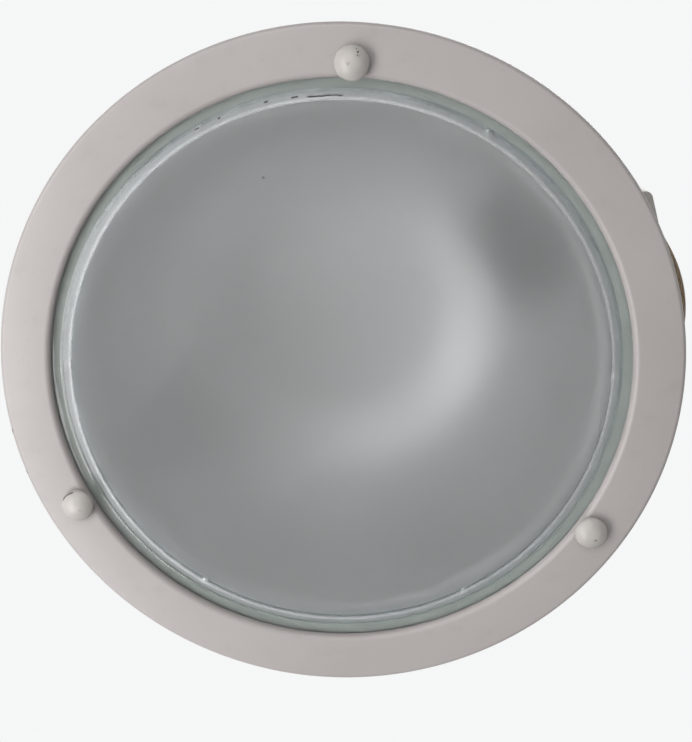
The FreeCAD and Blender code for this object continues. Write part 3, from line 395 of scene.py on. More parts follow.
def knobEnamel(name, tone, shade, chip, bruise, rough, cloud, mottle, ragged, fineSkin, wideSkin, chips,
               bruises, cut, cutRim, cutReach):
    # Enamel over a turned metal dome, with the few chips that handling leaves.
    finish = Finish(name, specularIorLevel=0.45)
    tint = finish.mix(finish.patches(*cloud) * 0.6, tone, shade)
    wander = finish.noise(*ragged) * 0.0007 - 0.00035
    masks = []
    for number, degrees, share, size in chips:
        gap = knobGap(finish, number, degrees, share) + wander
        masks.append(1 - finish.step(gap, size * mm, (size + 0.12) * mm))
    rim = finish.band(knobGap(finish, cut[0], 0, 0), *[radius * mm for radius in cutRim])
    masks.append(rim * (1 - finish.step(knobGap(finish, *cut), cutReach[0] * mm, cutReach[1] * mm)))
    chipped = finish.most(*masks)
    masks = []
    for number, degrees, share, size in bruises:
        gap = knobGap(finish, number, degrees, share) + wander
        masks.append(1 - finish.step(gap, size * 0.4 * mm, size * mm))
    bruised = finish.most(*masks) * finish.patches(*mottle)
    tint = finish.mix(bruised * 0.70, tint, bruise)
    peel = finish.noise(*fineSkin) + finish.noise(*wideSkin) * 0.7 - chipped * 1.2
    finish.use(baseColor=finish.mix(chipped, tint, chip), roughness=rough + chipped * 0.3,
               normal=finish.bump(peel, 0.00008, 0.40))
    return finish


def knobGap(finish, number, degrees, share):
    # How far the surface is, seen along the knob's axis, from a spot on that knob.
    middle = polar(studs["radius"], studs["turns"][number]) + polar(knobRadius * share, degrees)
    return finish.reach(finish.x - middle[0] * mm, finish.y - middle[1] * mm)


glassLook = {
    "clear": colour(0.92, 0.965, 0.95), "frost": colour(0.965, 0.975, 0.975),
    "milk": colour(0.80, 0.805, 0.82), "chip": colour(0.020, 0.022, 0.022),
    "clearRough": 0.035, "frostRough": 0.67, "milkRough": 0.45, "bevelRough": 0.30,
    "milkShare": 0.34, "highlightLineShare": 0.37, "slopeShare": 0.15, "marginShare": 0.10,
    "cloud": (28, 3), "ragged": (420, 3), "ripple": (46, 2), "grain": (2100, 2), "worn": (90, 4, 0.35, 0.65),
    # where each begins or ends, in millimetres: out from the step's inner or outer radius, or in height
    "frostEnd": (-0.9, 0.4), "bevelStart": (-1.0, 0.6), "bevelEnd": (-1.8, 0.4), "marginStart": (-0.4, 0.4),
    "highlightLineFade": (-1.0, -0.2, 0.3, 1.1), "backStart": (-2.0, -1.6),
    # dark bruises along the bevel, and at 267.4 degrees a painted shadow under the top thumb nut: middle
    # turn in degrees, half length in degrees, radius in millimetres
    "nicksAndShadow": [(241.0, 0.6, 93.7), (245.9, 0.35, 93.5), (255.7, 0.5, 93.3), (261.4, 0.8, 92.9),
              (267.4, 4.2, 92.4)],
    "markAndShadowWidth": (0.18, 0.34), "speck": (-24.3, -66.3, -5.2), "speckSize": (0.35, 0.60),
}


def pressedGlass(name, stepInner, stepOuter, clear, frost, milk, chip, clearRough, frostRough, milkRough,
                 bevelRough, milkShare, highlightLineShare, slopeShare, marginShare, cloud, ragged, ripple, grain,
                 worn, frostEnd, bevelStart, bevelEnd, marginStart, highlightLineFade, backStart, nicksAndShadow, markAndShadowWidth,
                 speck, speckSize):
    # Clear greenish glass whose middle is etched at the back; the bevel keeps a few dark bruises and a
    # painted shadow of the top thumb nut, and a painted highlight runs along the step's inner edge.
    finish = Finish(name, ior=1.50, transmissionWeight=1.0)
    span = finish.reach(finish.x, finish.y) * (1 / mm)
    fromInner = span - stepInner
    fromOuter = span - stepOuter
    atBack = finish.step(finish.z * (1 / mm), *backStart)
    atFront = 1 - atBack
    frosted = 1 - finish.step(fromInner, *frostEnd)
    etched = frosted * atBack
    drift = finish.noise(*cloud)
    masks = []
    for degrees, halfLength, radius in nicksAndShadow:
        ahead = polar(1, degrees)
        length = math.radians(halfLength) * radius * mm
        along = finish.math("ABSOLUTE", finish.y * ahead[0] - finish.x * ahead[1])
        out = finish.math("ABSOLUTE", span - radius + (finish.noise(*ragged) - 0.5) * 0.6)
        sameSide = finish.step(finish.x * ahead[0] + finish.y * ahead[1], 0, 0.01)
        onLine = 1 - finish.step(out, *markAndShadowWidth)
        masks.append((1 - finish.step(along, length * 0.75, length)) * onLine * sameSide)
    spot = finish.near(speck, *speckSize)
    # Painted shadow: the longest nick, under the top thumb nut, stands in for that nut's shadow on the
    # bevel; the others are bruises and a speck.
    marksAndShadow = finish.most(finish.most(*masks) * atFront, spot * 0.8)
    bevel = finish.step(fromInner, *bevelStart) * (1 - finish.step(fromOuter, *bevelEnd))
    etchRough = etched * (frostRough - clearRough) + (drift - 0.5) * etched * 0.06
    skin = finish.noise(*ripple) * (1 - bevel * 0.8) + finish.noise(*grain) * etched * 0.10
    finish.use(baseColor=finish.mix(frosted, clear, frost), normal=finish.bump(skin, 0.00030, 0.25),
               roughness=clearRough + etchRough + bevel * atFront * bevelRough)
    milky = finish.node("ShaderNodeBsdfPrincipled", None, {
        "Base Color": finish.mix(marksAndShadow, milk, chip), "Roughness": milkRough})
    # A painted highlight: a milky line along the step's inner edge stands in for the light caught on its
    # rounded edge; the slope beside it is ground glass.
    line = finish.band(fromInner, *highlightLineFade)
    wear = 0.92 + finish.patches(*worn) * 0.12
    groundAndHighlight = finish.most(bevel * slopeShare, line * highlightLineShare) * wear * atFront
    margin = finish.step(fromOuter, *marginStart) * marginShare * atFront
    finish.cover(finish.most(etched * milkShare * (0.85 + drift * 0.3), groundAndHighlight, margin, marksAndShadow), milky)
    return finish


spunLook = {
    "bright": colour(0.93, 0.935, 0.94), "dull": colour(0.86, 0.865, 0.87), "rough": 0.27,
    "outer": colour(0.50, 0.51, 0.52), "outerRough": 0.20, "below": -20, "cloud": (26, 4, 0.35, 0.72),
    "aged": colour(0.56, 0.565, 0.56), "lowerRough": 0.36, "lowerRise": (36, 68),
    # a painted shade on the crown: its colour, the spot it darkens about and the reach over which it fades,
    # in millimetres
    "shadeTone": colour(0.42, 0.415, 0.40), "shadeSpot": (-34, 12, 86), "shadeReach": (12, 64),
    "hazeRough": 0.12, "hazeSpot": (27, -3, 86), "hazeReach": (12, 32), "fineRings": 2600, "wideRings": 210,
}


def spunAluminium(name, bright, dull, rough, outer, outerRough, below, cloud, aged, lowerRough, lowerRise,
                  shadeTone, shadeSpot, shadeReach, hazeRough, hazeSpot, hazeReach, fineRings, wideRings):
    # Sheet spun over a former: fine rings that follow the radius and the height, with dull clouds. It is
    # polished inside and left dull outside, where the surface faces away from a place under the bowl.
    finish = Finish(name, metallic=1.0)
    span = finish.reach(finish.x, finish.y)
    facing = finish.node("ShaderNodeNewGeometry", output="Normal")
    away = finish.joined(finish.x, finish.y, finish.z - below * mm)
    turnedOut = finish.node("ShaderNodeVectorMath", {"operation": "DOT_PRODUCT"},
                            {0: facing, 1: away}, "Value")
    outside = finish.step(turnedOut, -0.001, 0.001)
    inside = 1 - outside
    fine = finish.noise(1, 3, finish.joined(span * fineRings, finish.z * fineRings, 0))
    wide = finish.noise(1, 2, finish.joined(span * wideRings, finish.z * wideRings, 0))
    dulled = finish.patches(*cloud)
    tint = finish.mix(dulled * 0.55 + wide * 0.25, bright, dull)
    tint = finish.mix(outside * (0.85 + wide * 0.3), tint, outer)
    # The inside turns darker and duller towards the mouth, below the two given heights.
    old = (1 - finish.step(finish.z * (1 / mm), *lowerRise)) * inside
    tint = finish.mix(old * (0.7 + dulled * 0.3), tint, aged)
    # Painted shade: the crown's inside is darkened about a spot left of its middle, where shade falls.
    crownShade = finish.near(shadeSpot, *shadeReach) * inside
    tint = finish.mix(crownShade * (0.8 + dulled * 0.2), tint, shadeTone)
    haze = finish.near(hazeSpot, *hazeReach) * inside
    worn = fine * 0.08 + dulled * 0.08 + outside * outerRough + old * lowerRough
    finish.use(baseColor=tint, roughness=rough + haze * hazeRough + worn,
               normal=finish.bump(fine + wide * 0.8, 0.00006, 0.45))
    return finish


galvanisedLook = {
    "pale": colour(0.60, 0.62, 0.64), "dark": colour(0.40, 0.42, 0.44), "white": colour(0.66, 0.67, 0.66),
    "warp": (240, 2), "warpBy": 0.004, "spangle": 150, "needle": 620, "bloom": (48, 5, 0.58, 0.74),
    "rough": 0.34,
}


def galvanised(name, pale, dark, white, warp, warpBy, spangle, needle, bloom, rough):
    # Zinc spangle: crystals of differing grey, finer needles inside them and a little white bloom.
    finish = Finish(name, metallic=0.92)
    warped = finish.node("ShaderNodeVectorMath", {"operation": "MULTIPLY_ADD"}, {
        0: finish.noise(*warp, output="Color"), 1: (warpBy, warpBy, warpBy), 2: finish.spot})
    shade = finish.node("ShaderNodeSeparateColor", None, {0: finish.cells(spangle, "Color", warped)})
    fine = finish.cells(needle, "Distance", warped)
    bloomed = finish.patches(*bloom)
    tint = finish.mix(shade * 0.75 + fine * 0.25, pale, dark)
    finish.use(baseColor=finish.mix(bloomed * 0.5, tint, white),
               roughness=rough + shade * 0.16 + bloomed * 0.2,
               normal=finish.bump(shade + fine, 0.00004, 0.30))
    return finish


phenolicLook = {
    "black": colour(0.020, 0.019, 0.018), "brown": colour(0.040, 0.031, 0.024),
    "dust": colour(0.30, 0.28, 0.25), "rough": 0.36, "flow": (70, 5, 0.42, 0.66),
    "dusty": (210, 4, 0.55, 0.75), "skin": (1300, 2),
}


def phenolic(name, black, brown, dust, rough, flow, dusty, skin):
    # Pressed phenolic: near black, faint brown flow marks, a moulded skin that is duller in places.
    finish = Finish(name, specularIorLevel=0.5)
    flowed = finish.patches(*flow, finish.stretched((1, 1, 2.6)))
    dusted = finish.patches(*dusty)
    tint = finish.mix(flowed * 0.8, black, brown)
    finish.use(baseColor=finish.mix(dusted * 0.12, tint, dust),
               roughness=rough + flowed * 0.08 + dusted * 0.15,
               normal=finish.bump(finish.noise(*skin) + flowed * 0.5, 0.00004, 0.30))
    return finish


def plainMetal(name, bright, dull, rough, scale, draw=(1, 1, 1)):
    # Small metal parts: two tones in clouds, and drawn or rolled marks along one direction.
    finish = Finish(name, metallic=1.0)
    cloud = finish.patches(scale, 4, 0.36, 0.70)
    stain = finish.patches(scale * 2.7, 5, 0.60, 0.76)
    marks = finish.noise(900, 3, finish.stretched(draw))
    stained = colour(*[part * 0.55 for part in dull[:3]])
    tint = finish.mix(cloud * 0.7, bright, dull)
    finish.use(baseColor=finish.mix(stain * 0.45, tint, stained),
               roughness=rough + cloud * 0.12 + marks * 0.08 + stain * 0.12,
               normal=finish.bump(marks, 0.00004, 0.35))
    return finish


def mouldedPlastic(name, tone, shade, rough, fibre=0.0, seeThrough=0.0):
    # Moulded plastic or rubber: slow clouds of tone, a fine skin, and glass fibres where it is filled.
    finish = Finish(name, specularIorLevel=0.42, subsurfaceWeight=seeThrough)
    if seeThrough:
        finish.use(subsurfaceRadius=(0.003, 0.0028, 0.0024), subsurfaceScale=0.4)
    cloud = finish.patches(90, 4, 0.36, 0.70)
    strands = finish.patches(420, 3, 0.52, 0.66, finish.stretched((1, 5, 1), (0, 0, 0.9))) * fibre
    finish.use(baseColor=finish.mix(cloud * 0.7 + strands, tone, shade),
               roughness=rough + cloud * 0.08 + strands * 0.2,
               normal=finish.bump(finish.noise(1500, 3) + strands, 0.00006, 0.40))
    return finish


trayLook = {
    "tone": colour(0.49, 0.475, 0.45), "shade": colour(0.42, 0.405, 0.38), "rust": colour(0.17, 0.09, 0.05),
    "dust": colour(0.40, 0.36, 0.31), "rough": 0.42, "runs": (38, 4), "runFade": (0.35, 0.70),
    "rusty": (170, 5, 0.685, 0.74), "rustField": (30, 2, 0.50, 0.62), "dusty": (85, 5, 0.52, 0.74),
    "skin": (520, 2),
}


def trayEnamel(name, tone, shade, rust, dust, rough, runs, runFade, rusty, rustField, dusty, skin):
    # Dipped grey-white enamel, thinner than the ring's: runs, dust and a trace of rust.
    finish = Finish(name, specularIorLevel=0.42)
    flow = finish.noise(*runs, finish.stretched((1, 1, 0.25)))
    tint = finish.mix(finish.step(flow, *runFade) * 0.8, tone, shade)
    rusted = finish.patches(*rusty) * finish.patches(*rustField)
    dusted = finish.patches(*dusty)
    tint = finish.mix(dusted * 0.16, tint, dust)
    finish.use(baseColor=finish.mix(rusted * 0.7, tint, rust),
               roughness=rough + dusted * 0.18 + rusted * 0.3,
               normal=finish.bump(finish.noise(*skin) + flow * 0.6, 0.00010, 0.35))
    return finish


sleevePitch = 5.5
sleeveLook = {
    "light": colour(0.360, 0.260, 0.165), "dark": colour(0.160, 0.108, 0.066),
    "faded": colour(0.42, 0.33, 0.24), "strands": 12.0, "rough": 0.72, "wear": (60, 4, 0.45, 0.72),
}


def braidedSleeve(name, light, dark, faded, strands, rough, wear):
    # Two sets of strands wind opposite ways round the lead: u runs round it and v along it, in strands.
    finish = Finish(name, specularIorLevel=0.3, sheenWeight=0.25, sheenRoughness=0.5)
    turn, along = finish.parts(finish.node("ShaderNodeUVMap", {"uv_map": "sleeve"}))[:2]
    turn = turn * strands
    right, left, crossing, strand = [
        finish.math("PINGPONG", spread, 0.5) for spread in (turn + along, turn - along, along, turn)]
    over = finish.step(crossing * 2 + strand * 0.5, 0.45, 0.75)
    weave = right * 2 * over + left * 2 * (1 - over)
    fuzz = finish.noise(1, 4, finish.joined(turn * 5, along * 5, 0))
    tint = finish.mix(finish.step(weave, 0.15, 0.75) * 0.8 + fuzz * 0.25, dark, light)
    tint = finish.mix(finish.patches(*wear) * 0.22, tint, faded)
    finish.use(baseColor=tint, roughness=rough + fuzz * 0.15,
               normal=finish.bump(weave + fuzz * 0.5, 0.00022, 0.8))
    return finish


ringFinish = stoveEnamel("ring_enamel", **enamelLook)
knobFinish = knobEnamel("knob_enamel", **knobLook)
glassFinish = pressedGlass("pressed_glass", **glassStep, **glassLook)
spunFinish = spunAluminium("spun_aluminium", **spunLook)
galvanisedFinish = galvanised("galvanised_sheet", **galvanisedLook)
phenolicFinish = phenolic("black_phenolic", **phenolicLook)
trayFinish = trayEnamel("tray_enamel", **trayLook)
sleeveFinish = braidedSleeve("braided_sleeve", **sleeveLook)
# metals: bright and dull tone, roughness, scale of the clouds, stretch of the drawn marks
brassFinish = plainMetal(
    "plain_brass", colour(0.62, 0.43, 0.17), colour(0.42, 0.27, 0.10), 0.26, 160, (1, 1, 0.2))
zincFinish = plainMetal("bright_zinc", colour(0.62, 0.63, 0.64), colour(0.47, 0.47, 0.45), 0.26, 220)
rivetFinish = plainMetal("rivet_aluminium", colour(0.72, 0.73, 0.74), colour(0.56, 0.57, 0.58), 0.30, 260)
# plastics: tone and shade, roughness, share of fibre, share of light that goes through
nylonFinish = mouldedPlastic(
    "natural_nylon", colour(0.66, 0.64, 0.58), colour(0.58, 0.55, 0.48), 0.42, 0.0, 0.15)
dogFinish = mouldedPlastic("filled_nylon", colour(0.58, 0.58, 0.55), colour(0.47, 0.47, 0.44), 0.46, 0.35)
terminalFinish = mouldedPlastic(
    "terminal_polyamide", colour(0.66, 0.64, 0.57), colour(0.58, 0.55, 0.47), 0.40)
rubberFinish = mouldedPlastic("brown_rubber", colour(0.046, 0.030, 0.021), colour(0.028, 0.019, 0.014), 0.62)
siliconeFinish = mouldedPlastic("silicone", colour(0.54, 0.57, 0.54), colour(0.47, 0.50, 0.47), 0.44)
print("finishes made")

coat(galvanisedFinish, "housing_ring", "gear_strap", "lampholder_bracket_a", "lampholder_bracket_b")
coat(trayFinish, "gear_tray", "tray_lid")
coat(terminalFinish, "terminal_block")
coat(zincFinish, "terminal_screws")
coat(phenolicFinish, "cord_grip")
coat(siliconeFinish, "glass_gasket")
coat(brassFinish, "lampholder_contact_a", "lampholder_contact_b")
print("frame nodes coated")

# Front: ring and glass

ringSize = {"outer": 115.0, "inner": 98.0, "face": -7.0, "lip": -4.2, "sheet": 1.2, "edge": 1.6,
            "roll": 2.0, "hole": 2.3, "raw": 0.3, "steps": 360}


def trimRing(outer, inner, face, lip, sheet, edge, roll, hole, raw, steps):
    # A pressed sheet's outline, with its two large bends and its cut edges, carried once round.
    inside = face + sheet
    profile = softProfile([
        (outer, 0.0, raw), (outer, face, edge), (inner, face, roll), (inner, lip, raw),
        (inner + sheet, lip, raw), (inner + sheet, inside, roll - sheet),
        (outer - sheet, inside, edge - sheet), (outer - sheet, 0.0, raw)], arcSteps=9)
    ring = lay("ring_pressing", [turned(profile, steps)])
    spots = [polar(studs["radius"], degrees) for degrees in studs["turns"]]
    return drill(ring, [rod(hole, face - 1, 0.0, 32, spot) for spot in spots])


settle(trimRing(**ringSize), ringFinish, "front", "white_paint", "trim_ring")

glassSize = {"outer": 100.1, "rim": -4.2, "front": -5.2, "back": -1.24, "stepRound": 2.7, "edgeRound": 0.8,
             "steps": 288}


def glassDisc(stepInner, stepOuter, outer, rim, front, back, stepRound, edgeRound, steps):
    # A flat disc with a bevelled step near its edge; extra rows keep the wide flats even.
    flat = [(share * stepInner, front) for share in (0, 0.2, 0.4, 0.6, 0.8)]
    rear = [(share * outer, back) for share in (0.8, 0.6, 0.4, 0.2, 0)]
    edge = [(stepInner, front, stepRound), (stepOuter, rim, stepRound), (outer, rim, edgeRound),
            (outer, back, edgeRound)]
    profile = softProfile(flat + edge + rear, closed=False, arcSteps=8)
    return lay("glass_pressing", [turned(profile, steps, closed=False)])


settle(glassDisc(**glassStep, **glassSize), glassFinish, "front", "glass", "glass_disc")
print("ring and glass laid")

# Bowl

bowlSize = {"height": 87.0, "sheet": 0.9, "top": 70.0, "mouth": 88.9, "rim": 97.5, "seat": 1.0,
            "shoulder": 39.0, "bend": 1.5, "raw": 0.2, "opening": 21.0, "steps": 288}


def spunBowl(height, sheet, top, mouth, rim, seat, shoulder, bend, raw, opening, steps):
    # The sheet's outline, crown, round shoulder, cone and rim, outside and back inside, carried once round;
    # one rod right through it leaves the lampholders' two openings.
    brim = seat + sheet
    inside = height - sheet
    profile = softProfile([
        (0.0, height), (top, height, shoulder), (mouth, brim, bend), (rim, brim, raw), (rim, seat, raw),
        (mouth - sheet, seat, bend + sheet), (top - sheet, inside, shoulder - sheet), (0.0, inside)],
        closed=False, arcSteps=20)
    bowl = lay("spun_bowl", [turned(profile, steps, closed=False)])
    past = rim + 1.0
    return drill(bowl, [rod(opening, -past, past, 96, lampCentre, polar(1, lamps["turns"]["a"]))])


settle(spunBowl(**bowlSize), spunFinish, "base", "spun_aluminium", "reflector")
print("bowl laid")

# Thumb nuts, washers and studs

knobSize = {"seat": -7.82, "skirt": 1.5, "dome": 2.7, "crown": 2.4, "edge": 1.6, "foot": 0.35, "bore": 2.05,
            "depth": 3.7, "drillTip": 0.15}
washerSize = {"radius": 4.6, "eye": 2.3, "top": -7.0, "thick": 0.8, "edge": 0.25, "eyeEdge": 0.1}
studSize = {"radius": 2.0, "low": -11.4, "seat": 1.0, "pitch": 0.7, "threadDepth": 0.36, "thread": 6.4,
            "head": 2.75, "headHeight": 1.4}


def thumbNut(name, spot, seat, skirt, dome, crown, edge, foot, bore, depth, drillTip):
    # A low crown that falls with a power of the radius, a short skirt, the foot, the bore and its floor.
    brow = seat - skirt
    floor = seat - depth
    shares = np.linspace(0, 1, 13)[:-1]
    cap = [(knobRadius * share, brow - dome + dome * share ** crown) for share in shares]
    profile = softProfile(cap + [
        (knobRadius, brow, edge), (knobRadius, seat, foot), (bore, seat, 0.2), (bore, floor),
        (0.0, floor - drillTip)], closed=False)
    return lay(name, [turned(profile, 72, spot, closed=False)], 50)


def washer(name, spot, radius, eye, top, thick, edge, eyeEdge):
    low = top - thick
    profile = softProfile([
        (eye, low, eyeEdge), (radius, low, edge), (radius, top, edge), (eye, top, eyeEdge)], arcSteps=4)
    return lay(name, [turned(profile, 48, spot)])


def stud(name, spot, radius, low, seat, pitch, threadDepth, thread, head, headHeight):
    # A plain shank under a flat head, and a threaded end that it runs into.
    join = low + thread
    top = seat + headHeight
    profile = softProfile([
        (0.0, join), (radius, join), (radius, seat), (head, seat, 0.2), (head, top, 0.5), (0.0, top)],
        closed=False, arcSteps=4)
    end = screwThread(radius, threadDepth, pitch, low, join + 0.01, spot, steps=36)
    return lay(name, [turned(profile, 36, spot, closed=False), end])


for number, degrees in enumerate(studs["turns"], start=1):
    spot = polar(studs["radius"], degrees)
    nut = thumbNut("thumb_nut_%d" % number, spot, **knobSize)
    settle(nut, knobFinish, "knob_%d_cap" % number, "knob_paint", "knob_%d" % number)
    seat = washer("nylon_washer_%d" % number, spot, **washerSize)
    settle(seat, nylonFinish, "knob_%d_seat" % number, "nylon", "knob_washer_%d" % number)
    post = stud("threaded_stud_%d" % number, spot, **studSize)
    settle(post, zincFinish, "base", "zinc_steel", "stud_%d" % number)
print("thumb nuts, washers and studs laid")

# Lampholders: lengths along each holder's own axis, from the middle of the light

holderSize = {"radius": 19.0, "floor": 86.2}
skirtSize = {"mouth": 59.0, "bore": 13.9, "boreEdge": 0.6, "chamfer": 1.5, "flutes": 40, "fluteDepth": 0.35,
             "fluteStart": 66.0, "fluteEnd": 83.5, "fluteEase": 1.2}
capSize = {"neck": 16.0, "end": 98.2, "pocket": 90.2, "wireHole": 3.0, "nippleHole": 5.05,
           "entryAlong": 93.5, "entryAside": 8.0, "entryRadius": 2.7, "entryRise": (8.8, 20.0)}
shellSize = {"start": 61.0, "end": 83.0, "crest": 13.62, "wave": 1.05, "pitch": 3.62, "sheet": 0.3,
             "lip": 13.75, "lipLength": 0.8, "ease": 1.6}
nippleSize = {"crest": 5.0, "depth": 0.5, "pitch": 1.0, "low": 90.2, "high": 104.4, "bore": 3.4,
              "steps": 48, "rows": 8}
nutSize = {"corners": 16.2, "low": 99.4, "thick": 3.5, "bore": 5.0, "rimEdge": 0.12}


def holderSkirt(name, axis, radius, floor, mouth, bore, boreEdge, chamfer, flutes, fluteDepth, fluteStart,
                fluteEnd, fluteEase):
    # Outside, the radius dips by the flute depth as a cosine of the angle, eased in and out along the axis;
    # inside is a plain bore, and the two walls close on each other at both ends.
    rows = np.array([   # along the axis, drawn in by, share of the flutes
        (mouth, chamfer, 0), (mouth + chamfer * 0.3, chamfer * 0.35, 0), (mouth + chamfer, 0, 0),
        (fluteStart - 1.0, 0, 0), (fluteStart, 0, 0), (fluteStart + fluteEase, 0, 1),
        (fluteEnd - fluteEase, 0, 1), (fluteEnd, 0, 0), (fluteEnd + 1.0, 0, 0),
        (floor - 0.2, 0, 0), (floor, 0.2, 0)])
    along, inset, share = rows.T[:, :, None]
    angle = around(320)
    dip = fluteDepth * (0.5 - 0.5 * np.cos(angle * flutes)) * share
    outside = aboutAxis(radius - inset - dip, along, angle, lampCentre, axis)
    wall = np.array([(bore, floor), (bore, mouth + boreEdge), (bore + boreEdge, mouth)])
    inside = aboutAxis(wall[:, :1], wall[:, 1:], angle, lampCentre, axis)
    return lay(name, [(np.vstack([outside, inside]), True, True)])


def holderCap(name, axis, radius, floor, neck, end, pocket, wireHole, nippleHole, entryAlong, entryAside,
              entryRadius, entryRise):
    # A stepped cap behind the skirt with the nipple's bore and the lead's side entry.
    profile = softProfile([
        (wireHole, floor), (radius, floor, 0.3), (radius, floor + 2, 0.8), (neck, floor + 4, 0.8),
        (neck, end, 0.6), (nippleHole, end, 0.2), (nippleHole, pocket), (wireHole, pocket)], arcSteps=5)
    cap = lay(name, [turned(profile, 96, lampCentre, axis)])
    spot = axis * entryAlong + np.cross(upward, axis) * entryAside + lampCentre
    return drill(cap, [rod(entryRadius, *entryRise, 32, spot)])


def screwShell(name, axis, start, end, crest, wave, pitch, sheet, lip, lipLength, ease):
    # A rolled sheet: its radius follows a cosine of height / pitch - angle / turn,
    # and a plain lip closes each end.
    angle = around(96)
    along = np.linspace(start, end, 120)[:, None]
    fade = np.clip((np.minimum(along - start, end - along) - lipLength) / ease, 0, 1)
    fade = fade * fade * (3 - 2 * fade)
    roll = 0.5 - 0.5 * np.cos(fullTurn * along / pitch - angle)
    outer = crest + (lip - crest) * (1 - fade) - wave * roll * fade
    outside, inside = [
        aboutAxis(radius, along, angle, lampCentre, axis) for radius in (outer, outer - sheet)]
    return lay(name, [(np.vstack([outside, inside[::-1]]), True, True)])


def hexNut(name, axis, corners, low, thick, bore, rimEdge):
    # A hexagon's radius is flat / cos(angle from the nearest flat's middle);
    # its ends are turned to a shallow cone.
    angle = around(72)
    sixth = math.pi / 3
    flat = corners / 2 * math.cos(sixth / 2)
    hexagon = flat / np.cos((angle + sixth / 2) % sixth - sixth / 2)
    drop = rimEdge + (hexagon - flat) * 0.55
    face = flat * 0.96
    high = low + thick
    rows = [(bore, low), (face, low), (hexagon, low + drop), (hexagon, high - drop), (face, high),
            (bore, high)]
    grid = np.vstack([aboutAxis(radius, height, angle, lampCentre, axis) for radius, height in rows])
    return lay(name, [(grid, True, True)], 25)


for side, degrees in lamps["turns"].items():
    axis = polar(1, degrees)
    skirt = holderSkirt("holder_skirt_" + side, axis, **holderSize, **skirtSize)
    settle(skirt, phenolicFinish, "base", "holder_plastic", "lampholder_body_" + side)
    cap = holderCap("holder_cap_" + side, axis, **holderSize, **capSize)
    settle(cap, phenolicFinish, "base", "holder_plastic", "lampholder_cap_" + side)
    shell = screwShell("screw_shell_" + side, axis, **shellSize)
    settle(shell, brassFinish, "base", "brass", "lampholder_shell_" + side)
    nipple = lay("threaded_nipple_" + side, [screwThread(centre=lampCentre, axis=axis, **nippleSize)])
    settle(nipple, zincFinish, "base", "zinc_steel", "lampholder_nipple_" + side)
    nut = hexNut("back_nut_" + side, axis, **nutSize)
    settle(nut, zincFinish, "base", "zinc_steel", "lampholder_nut_" + side)
print("lampholders laid")

# Rivets and screws: where they stand, and the heights that a rivet grips between or a screw sits at

rivetSize = {"shank": 1.2, "head": 1.7, "height": 0.8, "brow": 0.45}
rimRivets = {"radius": 92.75, "grip": (0.0, 1.9)}
footRivets = {"radius": 101.4, "asides": (-13.5, 13.5), "grip": (0.0, 2.2)}
topRivets = {"alongs": (-15.0, 15.0), "aside": 11.0, "grip": (86.1, 88.5)}
sideRivets = {"asides": (2.0, 20.0), "height": 79.0, "grip": (82.5, 85.0)}
screwSize = {"crest": 1.5, "depth": 0.28, "pitch": 0.5, "steps": 28, "rows": 6}
panHead = {"radius": 2.8, "height": 2.0, "slot": 0.8, "depth": 0.9}
coverScrews = {"spots": [(88.0, 11.0), (123.6, 11.0)], "seat": 88.0, "length": 6.0}
gripScrews = {"spots": [(115.5, 8.5), (115.5, 27.5)], "seat": 82.6, "length": 16.6}
groundScrew = {"spots": [(118.0, -9.0)], "seat": 67.0, "length": 2.0}


def rivet(centre, axis, low, high, shank, head, height, brow):
    # A shank between two domed heads, turned about the rivet's own axis.
    half = [(0.0, 1.0, 0), (head * 0.62, 0.97, 0.4), (head, 0.35, brow), (head, 0.0, 0.1), (shank, 0.0, 0)]
    foot = [(radius, low - height * share, rounding) for radius, share, rounding in half]
    crown = [(radius, high + height * share, rounding) for radius, share, rounding in reversed(half)]
    return turned(softProfile(foot + crown, closed=False, arcSteps=3), 24, centre, axis, closed=False)


def rivets(name, node, places):
    # Each place is a centre, an axis and the two heights between which the rivet grips.
    grids = [rivet(*spot, **rivetSize) for spot in places]
    settle(lay(name, grids), rivetFinish, "base", "rivet_aluminium", node)


def slotted(centre, axis, seat, turnBy, radius, height, slot, depth):
    # A pan head's height over its seat falls with the radius to a rounded rim, less the depth of a slot
    # across its middle.
    angle = around(72)
    share = np.array([0, 0.12, 0.2, 0.3, 0.45, 0.6, 0.72, 0.82, 0.9, 0.955, 0.985, 1.0])[:, None]
    crown = height * (1 - 0.38 * share ** 4 - 0.14 * np.clip((share - 0.9) * 10, 0, 1) ** 2)
    aside = np.abs(share * radius * np.sin(angle - turnBy))
    cut = 1 - np.clip((aside - slot / 2) / 0.14 + 0.5, 0, 1)
    top = aboutAxis(share * radius, seat + crown - depth * cut, angle, centre, axis)
    foot, under = [aboutAxis(edge, seat, angle, centre, axis) for edge in (radius, 0.0)]
    return np.vstack([top, foot, under]), False, True


def panScrews(name, node, finish, slot, spots, seat, length):
    # Each screw stands along and aside on the tray: a slotted head on its seat, a threaded shank below it.
    grids = []
    for number, spot in enumerate(spots):
        centre = onTray(*spot)
        grids.append(slotted(centre, upward, seat, 0.7 + number, **panHead))
        grids.append(screwThread(low=seat - length, high=seat, centre=centre, **screwSize))
    settle(lay(name, grids, 30), finish, "base", slot, node)


